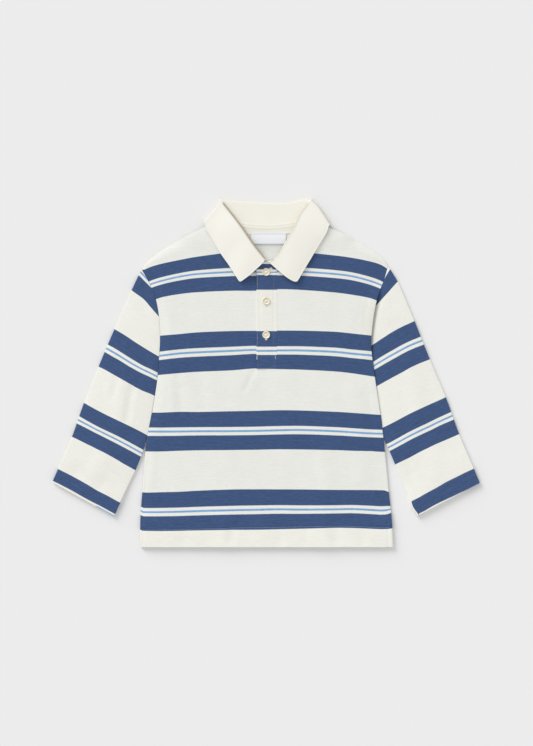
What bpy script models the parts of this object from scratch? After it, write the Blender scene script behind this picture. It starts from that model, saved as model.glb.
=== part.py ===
"""Long-sleeve polo shirt for a small child, laid flat and face up.

The shirt lies on the XY plane with the collar at +Y and its front facing +Z.
Left and right are the wearer's, so side -1 is the wearer's right, at -X, and
side +1 the wearer's left, at +X. The origin is on the ground under the middle
of the shirt. Sizes are in millimetres here, and become metres in place().
"""
import bisect
import math

import bmesh
import bpy
from mathutils import Vector

MM = 0.001
COLLECTION = "long_sleeve_polo_shirt"
WEARERS_RIGHT = -1
WEARERS_LEFT = 1

# ---------------------------------------------------------------- cloth
CLOTH = 1.0            # wall of the jersey
HEM_PLY = 0.8          # what the turned-in ply of the body hem adds
CUFF_PLY = 0.6         # what the turned-in ply of a cuff adds
COLLAR_WALL = 1.4      # two plies of the collar
GAP = 0.3              # between pieces that touch or are sewn together
SIDE_GAP = 0.6         # between a sleeve and the body, along the seam

# ---------------------------------------------------------------- body
HEM_Y = -200.0
HEM_DEPTH = 22.0
PLACKET_BASE_Y = 4.9
# One row per height: y, then the half width at the wearer's right and left.
BODY_EDGE = (
    (-200.0, 144.4, 145.9),
    (-181.0, 144.9, 145.0),
    (-162.0, 144.4, 143.9),
    (-137.0, 142.5, 141.5),
    (-101.0, 139.9, 138.1),
    (-74.0, 137.0, 135.2),
    (-45.0, 131.1, 131.6),
    (-5.0, 124.9, 125.4),
    (20.0, 122.9, 121.9),
    (37.0, 121.9, 121.0),
    (62.0, 122.9, 123.4),
    (83.0, 126.3, 127.3),
    (98.0, 131.8, 132.2),
    (107.0, 136.0, 135.8),
)
SHOULDER_TIP = {WEARERS_RIGHT: (143.0, 119.0), WEARERS_LEFT: (140.3, 122.8)}
# Front neckline from the centre front to the neck point: x, y of one half.
NECKLINE = (
    (1.8, 127.2),
    (12.0, 129.0),
    (26.0, 137.5),
    (41.0, 149.0),
    (53.6, 161.6),
    (60.5, 172.3),
)
BACK_NECK_Y = 169.0    # at the centre back
SHOULDER_BOW = 8.0     # how far the shoulder line stands above its chord
CROWN = 1.3            # air under the middle of the front
ROLL = 4.0             # width of the edge where the front rolls down
HEM_SLOPE = 26.0       # length over which the front comes down above its hem
# The panels climb onto the collar's fall, which lies under the back. Each
# slope starts at this y at the centre, and later towards the shoulders.
BACK_SLOPE = {"start": 149.0, "length": 7.0}
FRONT_SLOPE = {"start": 128.0, "length": 20.0}
SLOPE_DELAY = 11.7     # of the start, at SLOPE_REACH from the centre
SLOPE_REACH = 90.0
# Soft folds of the front: x, y at each end of the ridge, its half width, its height.
FRONT_FOLDS = (
    (-47.0, -92.0, -45.0, -196.0, 11.0, 0.6),
    (62.0, -90.0, 70.0, -196.0, 11.0, 0.6),
    (-107.0, 84.0, -108.0, -43.0, 9.0, 0.45),
    (104.0, -20.0, 112.0, -120.0, 10.0, 0.45),
    (-30.0, -14.0, -17.0, -4.0, 9.0, 0.35),
)

# ---------------------------------------------------------------- placket
STRIP_FREE_X = -11.0   # free edge of the top strip, on the wearer's right
STRIP_SEWN_X = 12.7    # its sewn edge, on the wearer's left
STRIP_TOP_Y = 125.9
TOP_STRIP_WALL = 1.3
STRIP_PROUD = 0.4      # of the front
BUTTON_X = 0.2
BUTTON_HEIGHTS = (116.0, 82.7, 43.7)
BUTTON_RADIUS = 4.8
BUTTON_THICKNESS = 1.8
BUTTON_DISH = 0.6
BUTTON_RIM = 0.9
BUTTON_HOLE_RADIUS = 0.5
BUTTON_HOLE_OFFSET = 1.0

# ---------------------------------------------------------------- sleeves
SLEEVE_FOLD = 2.5      # height of the sleeve's folded edges
CUFF_FOLD = 3.7        # the same at the cuff, whose hem has a second ply
CUFF_SHARE = 0.91      # of the sleeve's length, above the turned-in hem
SLEEVE_CROWN = 1.0
# Outer folded edge from the shoulder tip to the cuff: x, y.
SLEEVE_OUTER = {
    WEARERS_RIGHT: ((147.6, 110.5), (154.8, 95.1), (174.6, 50.3), (192.7, 7.4),
                    (209.8, -35.1), (223.3, -73.3), (238.1, -107.6), (246.0, -125.6)),
    WEARERS_LEFT: ((145.6, 115.2), (152.6, 103.2), (170.6, 60.6), (188.7, 15.4),
                   (207.2, -28.6), (222.6, -71.0), (238.1, -107.6), (246.0, -126.4)),
}
# Underarm edge from where it leaves the body to the cuff: x, y.
SLEEVE_INNER = {
    WEARERS_RIGHT: ((141.8, -90.5), (150.6, -112.4), (159.7, -131.9), (174.9, -164.8)),
    WEARERS_LEFT: ((142.3, -90.3), (148.6, -105.1), (157.7, -126.2), (174.9, -164.1)),
}
# Where the underarm edge lies beside the body.
BESIDE_BODY_Y = (-6.0, -30.0, -52.0, -74.0)
SLEEVE_FOLDS = {
    WEARERS_RIGHT: ((-172.0, 0.0, -168.0, -60.0, 10.0, 0.5), (-190.0, -104.0, -206.0, -128.0, 9.0, 0.5)),
    WEARERS_LEFT: ((168.0, 20.0, 176.0, -50.0, 10.0, 0.5), (190.0, -100.0, 196.0, -136.0, 9.0, 0.5)),
}

# ---------------------------------------------------------------- collar
FOLD_RADIUS = 0.85     # of the middle of the wall, where stand turns to fall
# Corners of each leaf: where the fold starts at the front, the point, and
# where fold line and free edge turn round the side of the neck.
LEAF = {
    WEARERS_RIGHT: {"fold_front": (1.4, 131.0), "point": (30.1, 104.5),
                    "fold_side": (51.5, 197.4), "edge_side": (70.6, 170.2)},
    WEARERS_LEFT: {"fold_front": (4.4, 127.0), "point": (35.5, 105.1),
                   "fold_side": (50.4, 197.4), "edge_side": (71.4, 169.4)},
}
BACK_FOLD_Y = 196.3    # fold line at the centre back
BACK_EDGE_Y = 159.6    # hidden free edge at the centre back
# Levels of the middle of the collar's wall.
BACK_FALL_Z = COLLAR_WALL / 2.0
BACK_STAND_Z = BACK_FALL_Z + 2.0 * FOLD_RADIUS
SIDE_STAND_Z = 4.5     # stand, where the front turns to the side
THROAT_FOLD_Z = 6.2    # fold beside the throat, the highest part of the stand
FRONT_FOLD_Z = 5.6     # fold at the front end
SEAM_Z = 4.0           # stand's lower edge along the front neckline
PLACKET_SEAM_Z = 5.3   # the same over the top of the placket
POINT_Z = 5.0          # the leaf's point
NECK_LIFT = COLLAR_WALL + GAP

# ---------------------------------------------------------------- neck trim
TAPE_WALL = 0.8
TAPE_LOWER_Y = 163.2
TAPE_HALF = 42.0
LABEL_WALL = 0.6
LABEL_X = (-24.6, 25.1)
LABEL_Y = (147.8, 161.0)

# ---------------------------------------------------------------- colours
JERSEY_WHITE = (0.80, 0.81, 0.76, 1.0)
COLLAR_WHITE = (0.87, 0.85, 0.78, 1.0)
LABEL_WHITE = (0.88, 0.89, 0.90, 1.0)
SHELL_CREAM = (0.80, 0.77, 0.66, 1.0)


# ================================================================ helpers
def lerp(a, b, t):
    return a + (b - a) * t


def smoothstep(t):
    t = min(max(t, 0.0), 1.0)
    return t * t * (3.0 - 2.0 * t)


def smooth(knots, values, at):
    """Value at one place of the smooth curve through values at the knots."""
    last = len(knots) - 1
    i = min(max(bisect.bisect_right(knots, at) - 1, 0), last - 1)

    def slope(j):
        low = max(j - 1, 0)
        high = min(j + 1, last)
        return (values[high] - values[low]) / (knots[high] - knots[low])

    step = knots[i + 1] - knots[i]
    t = (at - knots[i]) / step
    ease = t * t * (3.0 - 2.0 * t)
    rise = t * (1.0 - t) * (1.0 - t) * step * slope(i)
    fall = t * t * (t - 1.0) * step * slope(i + 1)
    return lerp(values[i], values[i + 1], ease) + rise + fall


def along(points, share):
    """Point at a share of the length of the smooth curve through the points."""
    lengths = [0.0]
    for a, b in zip(points, points[1:]):
        lengths.append(lengths[-1] + math.dist(a, b))
    at = share * lengths[-1]
    return tuple(smooth(lengths, [p[axis] for p in points], at) for axis in (0, 1))


def ridges(table, x, y):
    """Height that the soft folds of a table add at a place."""
    total = 0.0
    for x0, y0, x1, y1, half_width, height in table:
        run = Vector((x1 - x0, y1 - y0))
        way = Vector((x - x0, y - y0))
        share = way.dot(run) / run.length_squared
        nearest = Vector((x0, y0)) + run * min(max(share, 0.0), 1.0)
        distance = (Vector((x, y)) - nearest).length
        total += height * smoothstep(1.0 - distance / (2.0 * half_width))
    return total


def material(name, colour, roughness):
    made = bpy.data.materials.new(name)
    made.use_nodes = True
    shader = made.node_tree.nodes["Principled BSDF"]
    shader.inputs["Base Color"].default_value = colour
    shader.inputs["Roughness"].default_value = roughness
    shader.inputs["Metallic"].default_value = 0.0
    return made


def add_object(name, mesh, colour, roughness):
    mesh.materials.append(material(name + "_finish", colour, roughness))
    made = bpy.data.objects.new(name, mesh)
    bpy.data.collections[COLLECTION].objects.link(made)
    return made


def cloth_piece(name, columns, rows, outer, inner, colour, keep=None, wrapped=False):
    """A wall of cloth: a grid laid over its outer face, thickened to its inner face.

    outer and inner give the place of a grid point, in millimetres, from its
    column and row. keep says which squares of the grid belong to the piece,
    and a wrapped piece joins its last column to its first.
    """
    bm = bmesh.new()
    bmesh.ops.create_grid(bm, x_segments=columns, y_segments=rows, size=0.5)
    index = bm.verts.layers.float_vector.new("grid_place")
    for vert in bm.verts:
        column = round((vert.co.x + 0.5) * columns)
        row = round((vert.co.y + 0.5) * rows)
        vert[index] = Vector((column, row, 0.0))
    if keep:
        unused = []
        for face in bm.faces:
            corner = Vector((min(v[index].x for v in face.verts), min(v[index].y for v in face.verts)))
            if not keep(int(corner.x), int(corner.y)):
                unused.append(face)
        bmesh.ops.delete(bm, geom=unused, context="FACES")
    for vert in bm.verts:
        vert.co = Vector(outer(int(vert[index].x), int(vert[index].y))) * MM
    if wrapped:
        bmesh.ops.remove_doubles(bm, verts=bm.verts, dist=0.00001)
    extruded = bmesh.ops.extrude_face_region(bm, geom=list(bm.faces), use_keep_orig=True)
    for item in extruded["geom"]:
        if isinstance(item, bmesh.types.BMVert):
            item.co = Vector(inner(int(item[index].x), int(item[index].y))) * MM
    bmesh.ops.recalc_face_normals(bm, faces=bm.faces)
    mesh = bpy.data.meshes.new(name)
    bm.to_mesh(mesh)
    bm.free()
    mesh.shade_smooth()
    mesh.set_sharp_from_angle(angle=math.radians(50.0))
    return add_object(name, mesh, colour, 0.9)


# ================================================================ the body's outline and levels
def half_width(side, y):
    column = 1 if side == WEARERS_RIGHT else 2
    return smooth([row[0] for row in BODY_EDGE], [row[column] for row in BODY_EDGE], y)


def body_edge(side, share):
    """Place on the body's edge from the placket's base level to the shoulder tip."""
    column = 1 if side == WEARERS_RIGHT else 2
    points = [(half_width(side, PLACKET_BASE_Y), PLACKET_BASE_Y)]
    points += [(row[column], row[0]) for row in BODY_EDGE if row[0] > PLACKET_BASE_Y + 1.0]
    points.append(SHOULDER_TIP[side])
    x, y = along(points, share)
    return side * x, y


def shoulder_lift(share):
    """Height of the shoulder line over its chord, from the neck point to the tip."""
    return SHOULDER_BOW * min(1.0, share / 0.6) ** 0.8 * (1.0 - share ** 14)


def climb(slope, x, y):
    """0 where a panel lies low, 1 where it lies over the collar's fall."""
    start = slope["start"] + SLOPE_DELAY * (x / SLOPE_REACH) ** 4
    return smoothstep((y - start) / slope["length"])


def back_under(x, y):
    return NECK_LIFT * climb(BACK_SLOPE, x, y)


def hem_share(y):
    """1 on the two plies of the hem, falling to 0 above it."""
    return smoothstep((HEM_Y + HEM_DEPTH + HEM_SLOPE - y) / HEM_SLOPE)


def back_over(x, y):
    ply = HEM_PLY if y < HEM_Y + HEM_DEPTH else 0.0
    return back_under(x, y) + CLOTH + ply


def front_over(x, y, edge):
    """Level of the front's outer face. edge is 0 in the middle, 1 on the outline."""
    rise = climb(FRONT_SLOPE, x, y)
    hem = hem_share(y)
    level = 2.0 * CLOTH + GAP + NECK_LIFT * rise + 2.0 * HEM_PLY * hem
    inside = 1.0 - edge ** 6
    crown = CROWN * (1.0 - 0.8 * rise) * (1.0 - 0.7 * hem)
    return level + inside * (crown + ridges(FRONT_FOLDS, x, y))


def front_wall(y):
    return CLOTH + (HEM_PLY if y < HEM_Y + HEM_DEPTH else 0.0)


# ================================================================ front
HEM_ROWS = (HEM_Y, HEM_Y + 11.0, HEM_Y + HEM_DEPTH - 0.6, HEM_Y + HEM_DEPTH + 0.6)
LOW_STEPS = 12
NOTCH_STEPS = 7
NECK_STEPS = 5
SIDE_COLUMNS = 9
STRIP_COLUMNS = 2
NOTCH_GAP = 0.35


def low_heights():
    """Heights of the grid rows from the hem to the base of the placket."""
    first = HEM_ROWS[-1]
    top = PLACKET_BASE_Y - GAP
    rest = [lerp(first, top, (k + 1) / LOW_STEPS) for k in range(LOW_STEPS)]
    return list(HEM_ROWS) + rest


LOW_HEIGHTS = low_heights()
LOW_ROWS = len(LOW_HEIGHTS) - 1
FRONT_ROWS = LOW_ROWS + NOTCH_STEPS + NECK_STEPS
FRONT_COLUMNS = 2 * SIDE_COLUMNS + STRIP_COLUMNS


def notch_x(side):
    if side == WEARERS_RIGHT:
        return STRIP_FREE_X - NOTCH_GAP
    return STRIP_SEWN_X + NOTCH_GAP


def neckline_corner(side):
    """Where the notch meets the neckline."""
    x = abs(notch_x(side))
    return x, smooth([p[0] for p in NECKLINE], [p[1] for p in NECKLINE], x)


def front_ends(side, row):
    """Inner and outer end of a grid row on one side of the placket."""
    if row <= LOW_ROWS:
        y = LOW_HEIGHTS[row]
        return (notch_x(side), y), (side * half_width(side, y), y)
    high = row - LOW_ROWS
    outer = body_edge(side, high / (NOTCH_STEPS + NECK_STEPS))
    corner = neckline_corner(side)
    if high <= NOTCH_STEPS:
        inner = (notch_x(side), lerp(PLACKET_BASE_Y - GAP, corner[1], high / NOTCH_STEPS))
    else:
        rest = [corner] + [p for p in NECKLINE if p[0] > corner[0] + 3.0]
        x, y = along(rest, (high - NOTCH_STEPS) / NECK_STEPS)
        inner = (side * x, y)
    return inner, outer


def side_share(steps, length):
    """Share of the way to the outline, with a last narrow step for the rolled edge."""
    if steps == SIDE_COLUMNS:
        return 1.0
    return steps / (SIDE_COLUMNS - 1) * (1.0 - ROLL / length)


def front_place(column, row):
    """x, y and edge share of a grid point of the front."""
    if column <= SIDE_COLUMNS:
        side, steps = WEARERS_RIGHT, SIDE_COLUMNS - column
    elif column >= SIDE_COLUMNS + STRIP_COLUMNS:
        side, steps = WEARERS_LEFT, column - SIDE_COLUMNS - STRIP_COLUMNS
    else:
        share = (column - SIDE_COLUMNS) / STRIP_COLUMNS
        y = LOW_HEIGHTS[min(row, LOW_ROWS)]
        return lerp(notch_x(WEARERS_RIGHT), notch_x(WEARERS_LEFT), share), y, 0.0
    inner, outer = front_ends(side, row)
    share = side_share(steps, math.dist(inner, outer))
    lift = shoulder_lift(share) * smoothstep((row - FRONT_ROWS + 4) / 4.0)
    return lerp(inner[0], outer[0], share), lerp(inner[1], outer[1], share) + lift, share


def front_outer(column, row):
    x, y, share = front_place(column, row)
    edge = max(share, smoothstep((row - FRONT_ROWS + 2) / 2.0))
    return x, y, front_over(x, y, edge)


def front_inner(column, row):
    x, y, z = front_outer(column, row)
    return x, y, z - front_wall(y)


def in_front(column, row):
    """The notch above the placket's base is left out of the front."""
    beside = column < SIDE_COLUMNS or column >= SIDE_COLUMNS + STRIP_COLUMNS
    return beside or row < LOW_ROWS


def make_front():
    cloth_piece("front", FRONT_COLUMNS, FRONT_ROWS, front_outer, front_inner, JERSEY_WHITE, in_front)


# ================================================================ back
BACK_SHOULDER_COLUMNS = 6
BACK_NECK_COLUMNS = 8
BACK_COLUMNS = 2 * BACK_SHOULDER_COLUMNS + BACK_NECK_COLUMNS
BACK_LOW_STEPS = 9
# Rows above the placket's base, as shares of the way to the shoulder and neck.
BACK_HIGH_SHARES = (0.11, 0.22, 0.33, 0.44, 0.55, 0.66, 0.77, 0.84, 0.89, 0.925, 0.95, 1.0)


def back_low_heights():
    first = HEM_ROWS[-1]
    rest = [lerp(first, PLACKET_BASE_Y, (k + 1) / BACK_LOW_STEPS) for k in range(BACK_LOW_STEPS)]
    return list(HEM_ROWS) + rest


BACK_LOW_HEIGHTS = back_low_heights()
BACK_LOW_ROWS = len(BACK_LOW_HEIGHTS) - 1
BACK_ROWS = BACK_LOW_ROWS + len(BACK_HIGH_SHARES)


def neck_point(side):
    x, y = NECKLINE[-1]
    return side * x, y


def back_neck_y(x):
    """The back neckline, a shallow curve from neck point to neck point."""
    reach, side_y = NECKLINE[-1]
    return lerp(BACK_NECK_Y, side_y, (x / reach) ** 2)


def back_top(column):
    """Place on the shoulder line or the back neckline."""
    from_edge = min(column, BACK_COLUMNS - column)
    side = WEARERS_RIGHT if column < BACK_COLUMNS / 2 else WEARERS_LEFT
    if from_edge <= BACK_SHOULDER_COLUMNS:
        share = 1.0 - from_edge / BACK_SHOULDER_COLUMNS
        neck = neck_point(side)
        tip = (side * SHOULDER_TIP[side][0], SHOULDER_TIP[side][1])
        return lerp(neck[0], tip[0], share), lerp(neck[1], tip[1], share) + shoulder_lift(share)
    share = (column - BACK_SHOULDER_COLUMNS) / BACK_NECK_COLUMNS
    x = lerp(-NECKLINE[-1][0], NECKLINE[-1][0], share)
    return x, back_neck_y(x)


def back_place(column, row):
    side = WEARERS_RIGHT if column < BACK_COLUMNS / 2 else WEARERS_LEFT
    top = back_top(column)
    tip_x = side * SHOULDER_TIP[side][0]
    across = top[0] / tip_x
    if row <= BACK_LOW_ROWS:
        y = BACK_LOW_HEIGHTS[row]
        return side * half_width(side, y) * across, y
    share = BACK_HIGH_SHARES[row - BACK_LOW_ROWS - 1]
    edge = body_edge(side, share)
    start = body_edge(side, 0.0)
    end = body_edge(side, 1.0)
    bow_x = edge[0] - lerp(start[0], end[0], share)
    bow_y = edge[1] - lerp(start[1], end[1], share)
    x = lerp(start[0] * across, top[0], share) + bow_x * across
    return x, lerp(start[1], top[1], share) + bow_y * across


def back_outer(column, row):
    x, y = back_place(column, row)
    return x, y, back_under(x, y)


def back_inner(column, row):
    x, y = back_place(column, row)
    return x, y, back_over(x, y)


def make_back():
    cloth_piece("back", BACK_COLUMNS, BACK_ROWS, back_outer, back_inner, JERSEY_WHITE)


# ================================================================ sleeves
SLEEVE_RINGS = 15
SLEEVE_FLAT = 9
SLEEVE_ARC = 3
SLEEVE_COLUMNS = 2 * (SLEEVE_FLAT + SLEEVE_ARC)
BOW_RINGS = 7.0        # rings over which the curve of the armhole fades out


def armhole(side, share):
    """The sleeve's top edge, beside the body from the armpit to the shoulder tip."""
    column = 1 if side == WEARERS_RIGHT else 2
    points = [(half_width(side, BESIDE_BODY_Y[0]), BESIDE_BODY_Y[0])]
    points += [(row[column], row[0]) for row in BODY_EDGE if row[0] > PLACKET_BASE_Y]
    points.append(SHOULDER_TIP[side])
    x, y = along(points, share)
    return side * (x + SIDE_GAP), y


def sleeve_edges(side, share):
    """Underarm edge and outer edge of the sleeve at a share of its length."""
    beside = [(half_width(side, y) + SIDE_GAP, y) for y in BESIDE_BODY_Y]
    inner = along(beside + list(SLEEVE_INNER[side]), share)
    tip = armhole(side, 1.0)
    outer = along([(abs(tip[0]), tip[1])] + list(SLEEVE_OUTER[side]), share)
    return (side * inner[0], inner[1]), (side * outer[0], outer[1])


def flat_tube(step, width, height, crown, inset):
    """Distance across and height of a point round a flattened tube, inset from its outside."""
    radius = height / 2.0
    reach = radius - inset
    if step <= SLEEVE_ARC:
        angle = math.pi * step / SLEEVE_ARC
        return radius - reach * math.sin(angle), radius - reach * math.cos(angle)
    step -= SLEEVE_ARC
    if step <= SLEEVE_FLAT:
        share = step / SLEEVE_FLAT
        bulge = crown * math.sin(math.pi * share) ** 0.6 if share < 1.0 else 0.0
        return lerp(radius, width - radius, share), height - inset + bulge
    step -= SLEEVE_FLAT
    if step <= SLEEVE_ARC:
        angle = math.pi * (1.0 - step / SLEEVE_ARC)
        return width - radius + reach * math.sin(angle), radius - reach * math.cos(angle)
    share = (step - SLEEVE_ARC) / SLEEVE_FLAT
    return lerp(width - radius, radius, share), inset


def sleeve_place(side, column, ring, wall):
    share = ring / SLEEVE_RINGS
    inner, outer = sleeve_edges(side, share)
    first_inner, first_outer = sleeve_edges(side, 0.0)
    width = math.dist(inner, outer)
    cuff = smoothstep((share + 0.17 - CUFF_SHARE) / 0.17)
    crown = SLEEVE_CROWN * (0.35 + 0.65 * math.sin(math.pi * share)) * (1.0 - 0.6 * cuff)
    height = lerp(SLEEVE_FOLD, CUFF_FOLD, cuff)
    inset = wall * (CLOTH + (CUFF_PLY if share > CUFF_SHARE else 0.0))
    across, z = flat_tube(column % SLEEVE_COLUMNS, width, height, crown, inset)
    t = across / width
    bow = max(0.0, 1.0 - ring / BOW_RINGS)
    seam = armhole(side, t)
    x = lerp(inner[0], outer[0], t) + bow * (seam[0] - lerp(first_inner[0], first_outer[0], t))
    y = lerp(inner[1], outer[1], t) + bow * (seam[1] - lerp(first_inner[1], first_outer[1], t))
    if z > height / 2.0:
        z += ridges(SLEEVE_FOLDS[side], x, y) * math.sin(math.pi * min(max(t, 0.0), 1.0))
    return x, y, z


def make_sleeve(name, side):
    def outer(column, ring):
        return sleeve_place(side, column, ring, 0.0)

    def inner(column, ring):
        return sleeve_place(side, column, ring, 1.0)

    cloth_piece(name, SLEEVE_COLUMNS, SLEEVE_RINGS, outer, inner, JERSEY_WHITE, wrapped=True)


# ================================================================ collar
COLLAR_FRONT_ROWS = 8
COLLAR_TURN_ROWS = 6
COLLAR_BACK_ROWS = 5   # from the side of the neck to the centre back
STAND_STEPS = 3
FOLD_STEPS = 5
FALL_STEPS = 4
COLLAR_STEPS = STAND_STEPS + FOLD_STEPS + FALL_STEPS
SEAM_OFFSET = 1.1      # from the neckline to the stand's lower edge


def seam_at_front(side, share):
    """Lower edge of the stand, beside the front neckline."""
    x, y = along(NECKLINE, share)
    ahead = along(NECKLINE, min(share + 0.01, 1.0))
    behind = along(NECKLINE, max(share - 0.01, 0.0))
    run = Vector((ahead[0] - behind[0], ahead[1] - behind[1])).normalized()
    inward = Vector((-run.y, run.x)) * SEAM_OFFSET
    return side * (x + inward.x), y + inward.y


def leaf_corner(side, name):
    x, y = LEAF[side][name]
    return side * x, y


def side_out(side):
    """Level direction that points away from the neck at the collar's side."""
    fold = leaf_corner(side, "fold_side")
    edge = leaf_corner(side, "edge_side")
    run = Vector((edge[0] - fold[0], edge[1] - fold[1], 0.0)).normalized()
    return side * Vector((-run.y, run.x, 0.0))


def collar_front_row(side, share):
    """Seam, fold and free edge of the collar, and the way from stand to fall, on the front."""
    seam = seam_at_front(side, share)
    fold = Vector(leaf_corner(side, "fold_front")).lerp(Vector(leaf_corner(side, "fold_side")), share)
    edge = Vector(leaf_corner(side, "point")).lerp(Vector(leaf_corner(side, "edge_side")), share)
    on_placket = 1.0 - smoothstep(share / 0.25)
    at_side = smoothstep((share - 0.55) / 0.45)
    seam_z = lerp(lerp(SEAM_Z, SIDE_STAND_Z, at_side), PLACKET_SEAM_Z, on_placket)
    fold_z = lerp(lerp(FRONT_FOLD_Z, THROAT_FOLD_Z, smoothstep(share / 0.3)), SIDE_STAND_Z, at_side)
    edge_z = lerp(POINT_Z, SIDE_STAND_Z + 2.0 * FOLD_RADIUS, share ** 0.8)
    return Vector((*seam, seam_z)), Vector((*fold, fold_z)), Vector((*edge, edge_z)), Vector((0, 0, 1))


def collar_turn_row(side, turn):
    """The same where the collar turns from front (0) to back (pi) round the side of the neck."""
    out = side_out(side)
    way = out * math.sin(turn) + Vector((0, 0, math.cos(turn)))
    middle = (SIDE_STAND_Z + BACK_STAND_Z) / 2.0
    stand = (SIDE_STAND_Z - BACK_STAND_Z) / 2.0
    fall = stand + 2.0 * FOLD_RADIUS
    seam = Vector((*seam_at_front(side, 1.0), middle))
    fold = Vector((*leaf_corner(side, "fold_side"), middle))
    edge = Vector((*leaf_corner(side, "edge_side"), middle))
    return seam + way * stand, fold + way * stand, edge + way * fall, way


def collar_back_row(side, share):
    """The same on the back, from the side of the neck to the centre back."""
    seam_side = seam_at_front(side, 1.0)
    fold_side = leaf_corner(side, "fold_side")
    edge_side = leaf_corner(side, "edge_side")
    left = 1.0 - share
    seam_x = seam_side[0] * left
    seam = (seam_x, lerp(BACK_NECK_Y + SEAM_OFFSET, seam_side[1], left ** 2))
    fold = (fold_side[0] * left, lerp(BACK_FOLD_Y, fold_side[1], left ** 2))
    edge = (edge_side[0] * left, lerp(BACK_EDGE_Y, edge_side[1], left ** 4))
    down = Vector((0, 0, -1))
    return Vector((*seam, BACK_STAND_Z)), Vector((*fold, BACK_STAND_Z)), Vector((*edge, BACK_FALL_Z)), down


def collar_half(side):
    """Rows from the front to just before the centre back."""
    rows = [collar_front_row(side, k / COLLAR_FRONT_ROWS) for k in range(COLLAR_FRONT_ROWS + 1)]
    rows += [collar_turn_row(side, math.pi * k / COLLAR_TURN_ROWS) for k in range(1, COLLAR_TURN_ROWS)]
    rows += [collar_back_row(side, k / COLLAR_BACK_ROWS) for k in range(COLLAR_BACK_ROWS)]
    return rows


def collar_rows():
    centre = collar_back_row(WEARERS_RIGHT, 1.0)
    return collar_half(WEARERS_RIGHT) + [centre] + collar_half(WEARERS_LEFT)[::-1]


def collar_section(row, step):
    """Middle of the wall, and the way to the face between stand and fall."""
    seam, fold, edge, way = row
    rising = fold - seam
    rising = (rising - way * rising.dot(way)).normalized()
    if step <= STAND_STEPS:
        return seam.lerp(fold, step / STAND_STEPS), way
    step -= STAND_STEPS
    if step < FOLD_STEPS:
        angle = math.pi * step / FOLD_STEPS
        inwards = way * math.cos(angle) - rising * math.sin(angle)
        return fold + way * FOLD_RADIUS - inwards * FOLD_RADIUS, inwards
    start = fold + way * (2.0 * FOLD_RADIUS)
    return start.lerp(edge, (step - FOLD_STEPS) / FALL_STEPS), -way


def make_collar():
    rows = collar_rows()

    def face(offset):
        def place(step, row):
            middle, way = collar_section(rows[row], step)
            return middle + way * offset
        return place

    half_wall = COLLAR_WALL / 2.0
    cloth_piece("collar", COLLAR_STEPS, len(rows) - 1, face(-half_wall), face(half_wall), COLLAR_WHITE)


# ================================================================ placket, tape and label
def strip(name, x_range, y_range, columns, rows, over, wall, colour):
    """A flat band of cloth. over gives the level of its upper face at a place."""
    def place(column, row):
        x = lerp(x_range[0], x_range[1], column / columns)
        y = lerp(y_range[0](x), y_range[1](x), row / rows)
        return x, y, over(x, y)

    def under(column, row):
        x, y, z = place(column, row)
        return x, y, z - wall

    cloth_piece(name, columns, rows, place, under, colour)


def top_strip_over(x, y):
    return front_over(0.0, y, 0.0) + STRIP_PROUD


def under_strip_over(x, y):
    return top_strip_over(x, y) - TOP_STRIP_WALL - GAP


def make_placket():
    ends = (lambda x: PLACKET_BASE_Y, lambda x: STRIP_TOP_Y)
    span = (STRIP_FREE_X, STRIP_SEWN_X)
    strip("placket_top", span, ends, 2, 9, top_strip_over, TOP_STRIP_WALL, JERSEY_WHITE)
    strip("placket_under", span, ends, 2, 9, under_strip_over, CLOTH, JERSEY_WHITE)


def make_neck_trim():
    tape_ends = (lambda x: back_neck_y(x) - BACK_NECK_Y + TAPE_LOWER_Y, lambda x: back_neck_y(x) - GAP)
    strip("neck_tape", (-TAPE_HALF, TAPE_HALF), tape_ends, 12, 1,
          lambda x, y: back_over(x, y) + GAP + TAPE_WALL, TAPE_WALL, COLLAR_WHITE)
    label_ends = (lambda x: LABEL_Y[0], lambda x: LABEL_Y[1])
    strip("label", LABEL_X, label_ends, 3, 5,
          lambda x, y: back_over(x, y) + GAP + LABEL_WALL, LABEL_WALL, LABEL_WHITE)


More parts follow.
